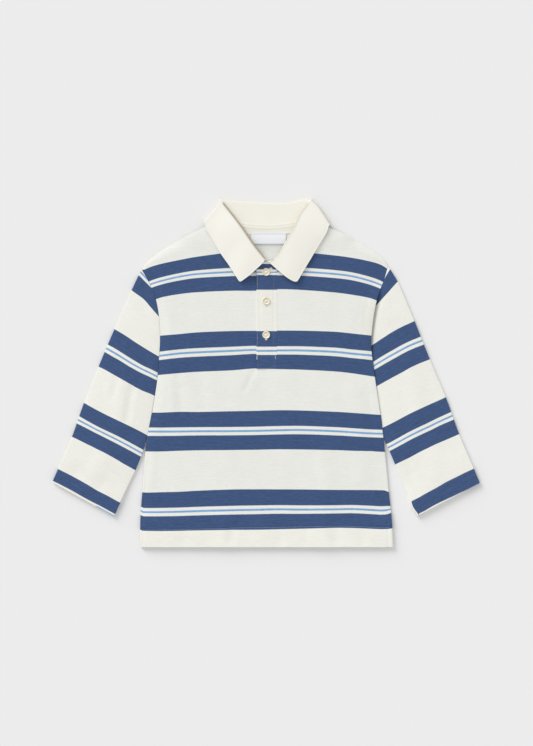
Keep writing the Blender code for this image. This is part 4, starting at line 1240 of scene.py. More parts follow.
UNDERLAP_SHIFT = 45.0  # in the stripes, from its blue to its white


def sleeve_rings():
    """Shares of the sleeve's length, close together beside the seam and at the cuff hem."""
    near = [0.0, 0.0015, 0.004, 0.007, 0.011, 0.016, 0.022]
    middle = spaced(near[-1], CUFF_PLY_SHARE - 0.006, 108)
    cuff = [CUFF_PLY_SHARE - 0.003, CUFF_PLY_SHARE, CUFF_PLY_SHARE + 0.003]
    cuff += spaced(cuff[-1], 0.992, 10) + [0.996, 0.999, 1.0]
    return near + middle + cuff


RINGS = sleeve_rings()


def armhole(side, share):
    """The sleeve's top edge, beside the body from the armpit to the shoulder tip."""
    x, y = along(edge_to_shoulder(side, BESIDE_BODY_Y[0]), share)
    return side * (x + SEAM_GAP), y


def sleeve_edges(side, share):
    """Underarm edge and outer edge of the sleeve at a share of its length."""
    beside = [(half_width(side, y) + BESIDE_GAP, y) for y in BESIDE_BODY_Y]
    inner = along(beside + list(SLEEVE_INNER[side]), share)
    if side == WEARERS_LEFT:
        lap = UNDERLAP * smoothstep((share - 0.84) / 0.09)
        lap *= lerp(0.4, 1.0, smoothstep((1.0 - share) / 0.07))
        inner = (inner[0] - 0.92 * lap, inner[1] - 0.4 * lap)
    tip_x, tip_y = armhole(side, 1.0)
    outer = along([(abs(tip_x), tip_y)] + list(SLEEVE_OUTER[side]), share)
    return (side * inner[0], inner[1]), (side * outer[0], outer[1])


def square_cosine(angle):
    return math.copysign(math.sqrt(abs(math.cos(angle))), math.cos(angle))


def flat_tube(step, width, height, crown, inset):
    """Distance across and height of a point round a flattened tube, inset from its
    outside: round the underarm fold, over the top, round the outer fold, and back
    below. The folds are pressed narrower than they are high."""
    middle = height / 2.0
    reach = FOLD_REACH if inset == 0.0 else INNER_FOLD_REACH
    fold = inset + reach
    if step <= SLEEVE_ARC:
        angle = math.pi * step / SLEEVE_ARC
        return fold - reach * math.sqrt(math.sin(angle)), middle - (middle - inset) * square_cosine(angle)
    step -= SLEEVE_ARC
    if step <= SLEEVE_FLAT:
        share = step / SLEEVE_FLAT
        bulge = crown * math.sin(math.pi * share) ** 0.6 if share < 1.0 else 0.0
        return lerp(fold, width - fold, share), height - inset + bulge
    step -= SLEEVE_FLAT
    if step <= SLEEVE_ARC:
        angle = math.pi * (1.0 - step / SLEEVE_ARC)
        across = width - fold + reach * math.sqrt(math.sin(angle))
        return across, middle - (middle - inset) * square_cosine(angle)
    share = (step - SLEEVE_ARC) / SLEEVE_FLAT
    return lerp(width - fold, fold, share), inset


def tucked_in(y):
    """1 where the wearer's left sleeve goes down deep beside the body."""
    return smoothstep((y - 16.0) / 14.0) * smoothstep((100.0 - y) / 14.0)


def sleeve_dip(side, y, from_seam):
    """How far the upper ply lies below its level beside the armhole seam."""
    if side == WEARERS_RIGHT:
        return sewn_in("armhole_right", from_seam)
    return lerp(sewn_in("armhole_left", from_seam), sewn_in("tucked", from_seam), tucked_in(y))


def sleeve_point(side, column, share, wall):
    """A point of the sleeve's outside (wall 0) or of its inside (wall 1)."""
    inner, outer = sleeve_edges(side, share)
    first_inner, first_outer = sleeve_edges(side, 0.0)
    width = math.dist(inner, outer)
    cuff = smoothstep((share + CUFF_RISE - CUFF_SHARE) / CUFF_RISE)
    crown = SLEEVE_CROWN * (0.35 + 0.65 * math.sin(math.pi * share)) * (1.0 - 0.6 * cuff)
    height = lerp(SLEEVE_FOLD, CUFF_FOLD, cuff)
    inset = wall * (CLOTH + (CUFF_PLY if share > CUFF_PLY_SHARE else 0.0))
    across, z = flat_tube(column % SLEEVE_COLUMNS, width, height, crown, inset)
    t = across / width
    bow = max(0.0, 1.0 - share / BOW_SHARE)
    seam = armhole(side, t)
    straight = lerp_point(first_inner, first_outer, t)
    x, y = lerp_point(inner, outer, t)
    x += bow * (seam[0] - straight[0])
    y += bow * (seam[1] - straight[1])
    if z > height / 2.0:
        soft = SLEEVE_DRAPE * ripple(x, y, 26.0, DRAPE_SEED["sleeve"] + side)
        soft *= smoothstep(share / 0.05) * (1.0 - 0.5 * cuff)
        if share > 0.9:
            soft -= sewn_in("cuff", sleeve_cloth(side, x, y, 0.0)[1] - CUFF_LINE)
        lift = (z - height / 2.0) / (height / 2.0)
        middle = math.sin(math.pi * min(max(t, 0.0), 1.0))
        z += middle * (ridges(SLEEVE_FOLDS[side], x, y) + soft)
        z -= min(lift, 1.0) * sleeve_dip(side, y, share * SLEEVE_LENGTH)
    return x, y, z


def sleeve_placer(side):
    """The place function of one sleeve."""
    def place(column, ring):
        share = RINGS[ring]
        outer = sleeve_point(side, column, share, 0.0)
        inner = sleeve_point(side, column, share, 1.0)
        tone = 1.0 if share > CUFF_PLY_SHARE else UPPER_PLY_TONE
        step = column % SLEEVE_COLUMNS
        round_outer = min(max((step - SLEEVE_ARC - SLEEVE_FLAT) / SLEEVE_ARC, 0.0), 1.0)
        # Painted shade: round the outer fold of the wearer's right sleeve, and where the wearer's left
        # sleeve goes down beside the body.
        if side == WEARERS_RIGHT and round_outer < 1.0:
            tone = lerp(tone, -1.0, math.sin(0.5 * math.pi * min(1.0, 2.0 * round_outer)))
        elif side == WEARERS_LEFT and SLEEVE_ARC <= step <= SLEEVE_ARC + SLEEVE_FLAT:
            shade = tucked_in(outer[1]) * math.exp(-(share * SLEEVE_LENGTH / TUCKED_SHADE_WIDTH) ** 4)
            tone = lerp(tone, -1.0, shade)
        across, down, tone = sleeve_cloth(side, outer[0], outer[1], tone)
        if share > RIM_SHARE and side == WEARERS_RIGHT:
            down += RIM_SHIFT * smoothstep((0.38 - (step - SLEEVE_ARC) / SLEEVE_FLAT) / 0.2)
        if side == WEARERS_LEFT and step <= SLEEVE_ARC and down > 2 * PITCH - 1.5:
            down -= UNDERLAP_SHIFT
        return outer, inner, (across, down, tone)
    return place


# ================================================================ collar
COLLAR_FRONT_ROWS = 64
COLLAR_TURN_ROWS = 14
COLLAR_BACK_ROWS = 34
STAND_STEPS = 14
FOLD_STEPS = 12
FALL_STEPS = 30
COLLAR_STEPS = STAND_STEPS + FOLD_STEPS + FALL_STEPS
POINT_ROUNDING = 2.4
LEAF_SEAM = 3.0        # from a leaf's edges to the line sewn round it
FRONT_BOW_SHARE = 0.35     # of a leaf, over which the bow of its front edge fades
SIDE_BOW_SHARE = 0.4       # the same for its side
TURN_REACH = 0.3       # of the stand, where the collar turns to the back
LEAF_RAISED = 1.1      # the point stands off the front
LEAF_SWELL = 0.55      # height of the soft swell of a leaf
LEAF_DRAPE = 0.22      # height of its uneven drape
CORNER_PULL = {WEARERS_RIGHT: 0.06, WEARERS_LEFT: 0.01}     # share of the fall that its corner is cut by
KNIT_STEP = 1.3        # cloth between two rows or steps of the grid
# How strongly painted shade darkens the folds: round the side of the neck, round its back,
# and in the crease of each leaf, near its front and beyond its middle.
TURN_PAINTED_SHADE = 0.42
BACK_FOLD_PAINTED_SHADE = 0.45
CREASE_PAINTED_SHADE = {WEARERS_RIGHT: (1.0, 1.0), WEARERS_LEFT: (0.4, 0.5)}


def seam_at_front(side, share):
    """Lower edge of the stand, beside the front neckline."""
    x, y = along(NECKLINE, share)
    ahead = along(NECKLINE, min(share + 0.01, 1.0))
    behind = along(NECKLINE, max(share - 0.01, 0.0))
    run = Vector((ahead[0] - behind[0], ahead[1] - behind[1])).normalized()
    inward = Vector((-run.y, run.x)) * SEAM_OFFSET
    return side * (x + inward.x), y + inward.y


def leaf_corner(side, name):
    x, y = LEAF[side][name]
    return Vector((side * x, y))


def bowed_out(side, name, at):
    """How an edge of the leaf departs from the straight line between its corners."""
    first, last = (leaf_corner(side, corner) for corner in LEAF_EDGES[name])
    middle = sum((leaf_corner(side, corner) for corner in LEAF[side]), Vector((0.0, 0.0))) / 4.0
    run = (last - first).normalized()
    out = Vector((-run.y, run.x))
    if out.dot(first - middle) < 0.0:
        out.negate()
    return out * smooth(*LEAF_BOWS[side][name], min(max(at, 0.0), 1.0))


def leaf_fold(side, share):
    straight = leaf_corner(side, "fold_front").lerp(leaf_corner(side, "fold_side"), share)
    return straight + bowed_out(side, "fold", share)


def leaf_edge(side, share):
    straight = leaf_corner(side, "point").lerp(leaf_corner(side, "edge_side"), share)
    edge = straight + bowed_out(side, "free", share)
    return edge.lerp(leaf_fold(side, share), CORNER_PULL[side] * smoothstep((share - 0.93) / 0.07))


def leaf_shift(side, part, at, fall):
    """The bow of the leaf's front edge and of its side, which fade between them."""
    front = 1.0 - smoothstep(at / FRONT_BOW_SHARE) if part == "front" else 0.0
    beside = 1.0
    if part == "front":
        beside = smoothstep((at - 1.0 + SIDE_BOW_SHARE) / SIDE_BOW_SHARE)
    elif part == "back":
        beside = 1.0 - smoothstep(at / SIDE_BOW_SHARE)
    return bowed_out(side, "front", fall) * front + bowed_out(side, "side", fall) * beside


def leaf_at(side, share, fall):
    """Place on a leaf, by its shares of the way to the side and from fold to edge."""
    place = leaf_fold(side, share).lerp(leaf_edge(side, share), fall)
    return place + leaf_shift(side, "front", share, fall)


def side_out(side):
    """Level direction that points away from the neck at the collar's side."""
    fold = leaf_corner(side, "fold_side")
    edge = leaf_corner(side, "edge_side")
    run = Vector((edge.x - fold.x, edge.y - fold.y, 0.0)).normalized()
    return side * Vector((-run.y, run.x, 0.0))


def collar_front_row(side, share):
    """Seam, fold and free edge of the collar, and the way from stand to fall, on the front."""
    seam = seam_at_front(side, share)
    on_placket = 1.0 - smoothstep(share / 0.25)
    at_side = smoothstep((share - 0.55) / 0.45)
    seam_z = lerp(lerp(SEAM_Z, SIDE_STAND_Z, at_side), PLACKET_SEAM_Z, on_placket)
    fold_z = lerp(lerp(FRONT_FOLD_Z, THROAT_FOLD_Z, smoothstep(share / 0.3)), SIDE_STAND_Z, at_side)
    edge_z = lerp(POINT_Z, SIDE_STAND_Z + 2.0 * FOLD_RADIUS, share ** 0.8)
    return (Vector((*seam, seam_z)), Vector((*leaf_fold(side, share), fold_z)),
            Vector((*leaf_edge(side, share), edge_z)), Vector((0, 0, 1)))


def collar_turn_row(side, turn):
    """The same where the collar turns from front (0) to back (pi) round the side of the neck."""
    out = side_out(side)
    up = Vector((0, 0, 1))
    way = out * math.sin(turn) + up * math.cos(turn)
    pressed = out * math.sqrt(math.sin(turn)) + up * square_cosine(turn)
    middle = (SIDE_STAND_Z + BACK_STAND_Z) / 2.0
    stand = out * (TURN_REACH * math.sin(turn)) + up * (SIDE_STAND_Z - middle) * square_cosine(turn)
    fall = stand + pressed * (2.0 * FOLD_RADIUS)
    seam = Vector((*seam_at_front(side, 1.0), middle))
    fold = Vector((*leaf_fold(side, 1.0), middle))
    edge = Vector((*leaf_edge(side, 1.0), middle))
    edge = edge.lerp(fold, CORNER_PULL[side] * math.sin(turn))
    return seam + stand, fold + stand, edge + fall, way


def collar_back_row(side, share):
    """The same on the back, from the side of the neck to the centre back."""
    seam_side = seam_at_front(side, 1.0)
    fold_side = leaf_fold(side, 1.0)
    edge_side = leaf_edge(side, 1.0)
    left = 1.0 - share
    seam = (seam_side[0] * left, lerp(BACK_NECK_Y + SEAM_OFFSET, seam_side[1], left ** 2))
    fold = (fold_side.x * left, smooth(BACK_FOLD_X, BACK_FOLD_Y, fold_side.x * left))
    edge = (edge_side.x * left, lerp(BACK_EDGE_Y, edge_side.y, left ** 4))
    return (Vector((*seam, BACK_STAND_Z)), Vector((*fold, BACK_STAND_Z)),
            Vector((*edge, BACK_FALL_Z)), Vector((0, 0, -1)))


def collar_half():
    """How each row of one half is placed, from the front to just before the centre back."""
    rows = [("front", k / COLLAR_FRONT_ROWS) for k in range(COLLAR_FRONT_ROWS + 1)]
    rows += [("turn", math.pi * k / COLLAR_TURN_ROWS) for k in range(1, COLLAR_TURN_ROWS)]
    rows += [("back", k / COLLAR_BACK_ROWS) for k in range(COLLAR_BACK_ROWS)]
    return rows


def collar_rows():
    first = [(WEARERS_RIGHT, *row) for row in collar_half()]
    second = [(WEARERS_LEFT, *row) for row in collar_half()[::-1]]
    return first + [(WEARERS_RIGHT, "back", 1.0)] + second


COLLAR_ROWS = collar_rows()


def collar_row(side, part, at):
    rows = {"front": collar_front_row, "turn": collar_turn_row, "back": collar_back_row}
    return rows[part](side, at)


def collar_section(row, step, round_share):
    """Middle of the wall, and the way to the face between stand and fall."""
    seam, fold, edge, way = row
    rising = fold - seam
    rising = (rising - way * rising.dot(way)).normalized()
    if step <= STAND_STEPS:
        return seam.lerp(fold, step / STAND_STEPS), way
    step -= STAND_STEPS
    if step < FOLD_STEPS:
        angle = math.pi * step / FOLD_STEPS
        inwards = way * math.cos(angle) - rising * math.sin(angle)
        pressed = way * square_cosine(angle) - rising * math.sqrt(math.sin(angle))
        return fold + (way - pressed.lerp(inwards, round_share)) * FOLD_RADIUS, inwards
    start = fold + way * (2.0 * FOLD_RADIUS)
    return start.lerp(edge, (step - FOLD_STEPS) / FALL_STEPS), -way


def rounded_corner(a, b, radius):
    """Distances from two edges, moved so that their corner is round."""
    if a >= radius or b >= radius:
        return a, b
    dx, dy = radius - a, radius - b
    scale = max(dx, dy) / math.hypot(dx, dy)
    return radius - dx * scale, radius - dy * scale


def fold_painted_shade(side, part, at, fall_share):
    """Strength of the painted shade at a place of the collar: 0 on its faces, 1 deep in the crease."""
    if part == "turn":
        return TURN_PAINTED_SHADE * math.sqrt(math.sin(at))
    arc = 1.0 + fall_share * FALL_STEPS / FOLD_STEPS      # 0 at the stand, 1 at the fall
    if part == "back":
        return BACK_FOLD_PAINTED_SHADE * math.sin(math.pi * arc) if 0.0 < arc < 1.0 else 0.0
    if arc < 0.0:
        return 0.0
    crease = min(1.0, max(0.0, (1.0 - arc) * FOLD_STEPS + 1.2))
    strength = lerp(*CREASE_PAINTED_SHADE[side], smoothstep((at - 0.45) / 0.2))
    return strength * crease * smoothstep((0.985 - at) / 0.05)


def free_edge_length(side):
    return math.dist(leaf_corner(side, "point"), leaf_corner(side, "edge_side"))


def leaf_relief(side, at, fall_share, from_edge):
    """How far a leaf stands off its level. It swells softly between its fold and its
    edges, and its point is raised."""
    swell = math.sin(math.pi * min(max(fall_share, 0.0), 1.0)) * smoothstep(at / 0.2)
    lift = LEAF_SWELL * swell * (1.0 - smoothstep((at - 0.7) / 0.3))
    lift -= sewn_in("leaf", from_edge - LEAF_SEAM)
    lift += LEAF_RAISED * (1.0 - smoothstep(at / 0.45)) * smoothstep(fall_share / 0.7)
    drape = ripple(at * 80.0, fall_share * 40.0, 22.0, DRAPE_SEED["collar"] + side) - 0.5
    return lift + LEAF_DRAPE * drape * swell


def collar_place(step, index):
    side, part, at = COLLAR_ROWS[index]
    fall_share = (step - STAND_STEPS - FOLD_STEPS) / FALL_STEPS
    # Below 0 the tone is painted shade in the folds; 1 is painted warm shade on the stand.
    tone = -fold_painted_shade(side, part, at, fall_share)
    if tone == 0.0 and fall_share < -0.5 * FOLD_STEPS / FALL_STEPS:
        tone = 1.0
    round_share = smoothstep(at / 0.1) * smoothstep((0.98 - at) / 0.1) if part == "front" else 0.0
    lift = 0.0
    if part == "front" and fall_share > 0.0:
        _, fold, edge, _ = collar_front_row(side, at)
        fall_length = math.dist(fold, edge)
        free_length = free_edge_length(side)
        from_edges = (at * free_length, (1.0 - fall_share) * fall_length)
        moved = rounded_corner(*from_edges, POINT_ROUNDING)
        if moved != from_edges:
            at = moved[0] / free_length
            step = STAND_STEPS + FOLD_STEPS + FALL_STEPS * (1.0 - moved[1] / fall_length)
        lift = leaf_relief(side, at, fall_share, min(from_edges))
    middle, way = collar_section(collar_row(side, part, at), step, round_share)
    shift = leaf_shift(side, part, at, (step - STAND_STEPS - FOLD_STEPS) / FALL_STEPS)
    shift *= min(1.0, step / STAND_STEPS)
    middle = middle - way * lift + Vector((shift.x, shift.y, 0.0))
    half_wall = way * (COLLAR_WALL / 2.0)
    return middle - half_wall, middle + half_wall, (index * KNIT_STEP, step * KNIT_STEP, tone)


# ================================================================ placket, tape and label
def band(name, x_range, y_range, columns, rows, over, wall, finish, cloth, rim=0.35):
    """A flat band of cloth. y_range gives its ends at each x, over the level of its
    upper face, and cloth the place in the cloth and its tone."""
    def place(column, row):
        x = lerp(x_range[0], x_range[1], column / columns)
        y = lerp(y_range[0](x), y_range[1](x), row / rows)
        z = over(x, y)
        return (x, y, z), (x, y, z - wall), cloth(x, y)

    return cloth_piece(name, columns, rows, place, finish, rim=rim)


def straight_ends(low, high):
    return (lambda x: low), (lambda x: high)


FREE_BAND_X = -6.8     # inner end of the strip's turned edge
SEWN_LINE_X = 8.3
STRIP_WALL = 0.8
STRIP_DRAPE = 0.2      # height of the strip's uneven drape
FACING_BELOW = 0.2     # more room above the under strip
# How far the strip's stripes lie above the front's, by height: below 0 they lie lower.
PULLED_Y = (5.0, 104.0, 112.6, 119.0, 125.5)
PULLED = (0.0, 0.0, 0.85, -2.1, -2.1)
STRIP_STANDS = {"free": 0.85, "sewn": 0.06}     # above the front, at the strip's two edges
STRIP_END_Y = 125.2
NECK_EDGE_X = (-4.2, 6.2)
NECK_EDGE_Y = (125.3, 127.7)
BUTTONHOLES = (        # centre x, y, half length, angle from upright in degrees
    (1.9, 117.2, 6.2, -58.0),
    (0.2, 81.9, 6.4, 0.0),
    (0.3, 43.9, 6.4, 0.0),
)


def top_strip_over(x, y):
    across = (x - STRIP_FREE_X) / (STRIP_SEWN_X - STRIP_FREE_X)
    level = front_over(0.0, y, 0.0) + lerp(STRIP_STANDS["free"], STRIP_STANDS["sewn"], smoothstep(across))
    level -= sewn_in("strip_free", x - FREE_BAND_X) + sewn_in("strip_sewn", x - SEWN_LINE_X)
    inside = smoothstep(across / 0.12) * smoothstep((1.0 - across) / 0.12)
    level += inside * (STRIP_DRAPE * ripple(x * 1.5, y, 16.0, DRAPE_SEED["strip"]) - 0.05)
    for hole_x, hole_y, half, angle in BUTTONHOLES:
        turn = math.radians(angle)
        run = (x - hole_x) * -math.sin(turn) + (y - hole_y) * math.cos(turn)
        if abs(run) < half:
            level -= sewn_in("buttonhole", (x - hole_x) * math.cos(turn) + (y - hole_y) * math.sin(turn))
    return level


def facing_over(_, y):
    return front_over(0.0, y, 0.0) + STRIP_STANDS["sewn"] - STRIP_WALL - GAP - FACING_BELOW


def strip_cloth(x, y):
    pulled = smooth(PULLED_Y, PULLED, min(y, PULLED_Y[-1]))
    turned_in = x < FREE_BAND_X or x > SEWN_LINE_X
    return x, front_stripe(14.0, y + 0.5) + pulled, 1.0 if turned_in else 0.85


def make_placket():
    ends = straight_ends(PLACKET_BASE_Y, STRIP_END_Y)
    strip = band("placket_strip", (STRIP_FREE_X, STRIP_SEWN_X), ends, 44, 170, top_strip_over,
                 STRIP_WALL, JERSEY, strip_cloth, rim=0.12)
    facing = band("placket_facing", (NOTCH_X[WEARERS_RIGHT] + GAP, STRIP_SEWN_X), ends, 12, 60,
                  facing_over, CLOTH, JERSEY, strip_cloth)
    return strip, facing


def make_neck_edge():
    """The strip's end, turned in along the neckline."""
    def level(x, y):
        across = (y - NECK_EDGE_Y[0]) / (NECK_EDGE_Y[1] - NECK_EDGE_Y[0])
        return top_strip_over(x, STRIP_END_Y) + 0.3 + 0.1 * math.sin(math.pi * across)

    return band("placket_neck_edge", NECK_EDGE_X, straight_ends(*NECK_EDGE_Y), 16, 8, level, 0.9,
                COLLAR_KNIT, lambda x, y: (x, y, 0.0), rim=0.25)


NECK_SEAM_Y = 168.7
NECK_SEAM_BOW = 0.0031
TAPE_WALL = 0.45       # thinner than in the solids
TAPE_HALF = 42.0       # half its length
TAPE_ABOVE_SEAM = 1.6
TAPE_REACH = 10.4      # of the tape below the seam, in under the label
TAPE_LINES = (0.0, 3.5)     # the two sewn lines, below the neck seam
LABEL_SEEN_X = (-17.5, 22.9)
LABEL_SEEN_Y = (147.9, 160.3)
LABEL_SEEN_WALL = 0.4
LABEL_DASH_EDGE = 0.9  # the dashes lie within this of the label's long edges
LABEL_CREASE = 0.1


def neck_seam_y(x):
    """The seam seen round the back of the neck, sewn through the tape."""
    return NECK_SEAM_Y + NECK_SEAM_BOW * x * x


def tape_level(x, y):
    below = neck_seam_y(x) - y
    stands = lerp(2.0 * GAP, 0.05, smoothstep((below - 1.6) / 7.0))
    groove = sum(sewn_in("tape", below - line) for line in TAPE_LINES)
    return back_over(x, min(y, BACK_NECK_Y)) + stands + TAPE_WALL - groove


def label_level(x, y):
    across = (x - LABEL_SEEN_X[0]) / (LABEL_SEEN_X[1] - LABEL_SEEN_X[0])
    crease = LABEL_CREASE * math.sin(math.pi * across) ** 2
    return back_over(x, y) + TAPE_WALL + 0.08 + LABEL_SEEN_WALL + crease


def label_cloth(x, y):
    """On the label the tone is 1 along the edges with the dashed line."""
    from_edge = min(y - LABEL_SEEN_Y[0], LABEL_SEEN_Y[1] - y)
    return x, y, 1.0 if from_edge < LABEL_DASH_EDGE else 0.0


def make_neck_trim():
    tape_ends = (lambda x: neck_seam_y(x) - TAPE_REACH, lambda x: neck_seam_y(x) + TAPE_ABOVE_SEAM)
    # The tape takes part of the stand's painted warm shade.
    tape = band("neck_tape_cloth", (-TAPE_HALF, TAPE_HALF), tape_ends, 70, 16, tape_level, TAPE_WALL,
                COLLAR_KNIT, lambda x, y: (x, y, 0.6), rim=0.2)
    label = band("label_satin", LABEL_SEEN_X, straight_ends(*LABEL_SEEN_Y), 40, 30, label_level,
                 LABEL_SEEN_WALL, SATIN, label_cloth, rim=0.2)
    return tape, label


# ================================================================ buttons
SHELL_RADIUS = 4.45    # the moulded shell lies just inside its solid
SHELL_THICKNESS = 1.25
SHELL_DISH = 0.75      # depth of its dished middle
HOLE_RADIUS = 0.55
HOLE_AT = (0.8, 1.25)  # of each of its four holes from the middle: across, up
BARS_AT = 0.75         # of the button's threads, on both sides of its middle
BARS_SPREAD = (-0.35, 0.0, 0.35)
BARS_HALF = 1.1        # half the length of the threads on top
WORKED_FROM, WORKED_TO = 0.35, 1.45     # the buttonhole's stitches, from its slit outwards
SIDE_BARS = 27         # stitches along each side of a buttonhole
END_BARS = 9           # stitches round each end


def button_profile():
    """Half of the section through a button: distance from the middle, height."""
    r, top = SHELL_RADIUS, SHELL_THICKNESS
    dish = top - SHELL_DISH
    return (
        (0.0, dish - 0.05), (1.6, dish - 0.02), (r - 1.9, dish + 0.02), (r - 1.45, dish + 0.18),
        (r - 1.1, top - 0.16), (r - 0.8, top - 0.02), (r - 0.5, top), (r - 0.22, top - 0.14),
        (r - 0.06, top - 0.4), (r, top - 0.7), (r - 0.12, top - 0.95), (r - 0.9, 0.08),
        (r - 1.2, 0.0), (0.0, 0.0),
    )


def button_disc():
    bm = bmesh.new()
    profile = [bm.verts.new((x * MM, 0.0, z * MM)) for x, z in button_profile()]
    edges = [bm.edges.new(pair) for pair in zip(profile, profile[1:])]
    bmesh.ops.spin(bm, geom=profile + edges, cent=(0, 0, 0), axis=(0, 0, 1), angle=2.0 * math.pi,
                   steps=56, use_merge=True)
    bmesh.ops.remove_doubles(bm, verts=bm.verts, dist=0.000005)
    bmesh.ops.recalc_face_normals(bm, faces=bm.faces)
    return add_object("button_disc", mesh_of(bm, "button_disc"))


def button_holes():
    bm = bmesh.new()
    for sx in SIDES:
        for sy in SIDES:
            at = Vector((HOLE_AT[0] * sx, HOLE_AT[1] * sy, 0.5)) * MM
            bmesh.ops.create_cone(bm, cap_ends=True, segments=20, radius1=HOLE_RADIUS * MM,
                                  radius2=HOLE_RADIUS * MM, depth=6.0 * MM,
                                  matrix=Matrix.Translation(at))
    return add_object("button_holes", mesh_of(bm, "button_holes"))


def button_mesh():
    """A turned disc with a raised rim and four holes cut through it."""
    disc = button_disc()
    cutter = button_holes()
    cut = disc.modifiers.new("holes", "BOOLEAN")
    cut.solver = "EXACT"
    cut.object = cutter
    bpy.context.view_layer.update()
    made = bpy.data.meshes.new_from_object(disc.evaluated_get(bpy.context.evaluated_depsgraph_get()))
    bpy.data.objects.remove(disc)
    bpy.data.objects.remove(cutter)
    return made


def make_shell(number, base, disc):
    mesh = disc.copy()
    mesh.transform(Matrix.Translation(Vector((BUTTON_X, BUTTON_HEIGHTS[number - 1], base)) * MM))
    return finished(mesh, f"button_shell_{number}", SHELL, 40.0)


def make_button_thread(number, base):
    """Threads across the button's middle, their ends going down through its holes."""
    bm = bmesh.new()
    y = BUTTON_HEIGHTS[number - 1]
    z = base + SHELL_THICKNESS - 0.5
    for spread in BARS_SPREAD:
        for side in SIDES:
            x = BUTTON_X + BARS_AT * side + spread
            thread_bar(bm, Vector((x, y - BARS_HALF, z)), Vector((x, y + BARS_HALF, z + 0.08)), 0.28)
            for end in SIDES:
                thread_bar(bm, Vector((x, y + end * (BARS_HALF + 0.05), z - 0.1)),
                           Vector((x, y + end * BARS_HALF, base + 0.1)), 0.2)
    return finish_mesh(bm, f"button_thread_{number}", BUTTON_THREAD, THREAD_SHARP)


def make_buttonhole(number, surface):
    """The worked hole: dense stitches along both sides of a slit and round its ends."""
    hole_x, hole_y, half, angle = BUTTONHOLES[number - 1]
    turn = Matrix.Rotation(math.radians(angle), 2)
    bm = bmesh.new()

    def bar(inner, outer):
        a = turn @ Vector(inner)
        b = turn @ Vector(outer)
        level = surface.height(hole_x + b.x, hole_y + b.y) + 0.06
        thread_bar(bm, Vector((hole_x + a.x, hole_y + a.y, level - 0.1)),
                   Vector((hole_x + b.x, hole_y + b.y, level)), 0.24)

    straight = half - 1.4
    for side in SIDES:
        for k in range(SIDE_BARS):
            along_slit = lerp(-straight, straight, k / (SIDE_BARS - 1))
            bar((side * WORKED_FROM, along_slit), (side * WORKED_TO, along_slit))
        for k in range(END_BARS):
            turned = math.pi * k / (END_BARS - 1)
            way = Vector((math.cos(turned), side * math.sin(turned)))
            end = Vector((0.0, side * straight))
            bar(end + way * (WORKED_FROM + 0.05), end + way * WORKED_TO)
    return finish_mesh(bm, f"buttonhole_{number}", CREAM_THREAD, THREAD_SHARP)


def make_button(number, surface, disc):
    """The button, the thread through its holes, and the worked hole it goes through."""
    base = top_strip_over(BUTTON_X, BUTTON_HEIGHTS[number - 1]) + 0.05
    return (make_shell(number, base, disc), make_button_thread(number, base),
            make_buttonhole(number, surface))


# ================================================================ stitching
SEWN_FROM_Y = 24.0     # the strip's two long lines start above the box at its base
BOX_TOP_Y = 19.0


def hem_path():
    first = 3.0 - half_width(WEARERS_RIGHT, HEM_TOP_Y)
    last = half_width(WEARERS_LEFT, HEM_TOP_Y) - 3.0
    places = [lerp(first, last, k / 48) for k in range(49)]
    return [(x, hem_line_y(x)) for x in places]


def cuff_path(side):
    """The line sewn round the cuff, parallel to its blue stripe."""
    made = []
    for k in range(1, 20):
        column = SLEEVE_ARC + SLEEVE_FLAT * k / 20
        low, high = 0.9, 0.99
        for _ in range(12):
            middle = (low + high) / 2.0
            x, y, _ = sleeve_point(side, column, middle, 0.0)
            if sleeve_cloth(side, x, y, 0.0)[1] < CUFF_LINE:
                low = middle
            else:
                high = middle
        made.append((x, y))
    return made


def leaf_seam_path(side):
    """The line sewn round a leaf, parallel to its front and its free edge."""
    first = LEAF_SEAM / free_edge_length(side)

    def inset_fall(share):
        return 1.0 - LEAF_SEAM / math.dist(leaf_fold(side, share), leaf_edge(side, share))

    down = [leaf_at(side, first, lerp(0.04, inset_fall(first), k / 12)) for k in range(12)]
    shares = [lerp(first, 0.94, k / 20) for k in range(21)]
    out = [leaf_at(side, share, inset_fall(share)) for share in shares]
    return [tuple(place) for place in down + out]


def box_paths():
    """The box at the placket's base, its corners joined by a cross."""
    left, right = STRIP_FREE_X + 1.2, STRIP_SEWN_X - 1.8
    low, high = PLACKET_BASE_Y + 1.4, BOX_TOP_Y
    return [[(left, high), (left, low), (right, low), (right, high)],
            [(left, low + 1), (right, high - 1)],
            [(left, high - 1), (right, low + 1)],
            [(left, high), (right, high)]]


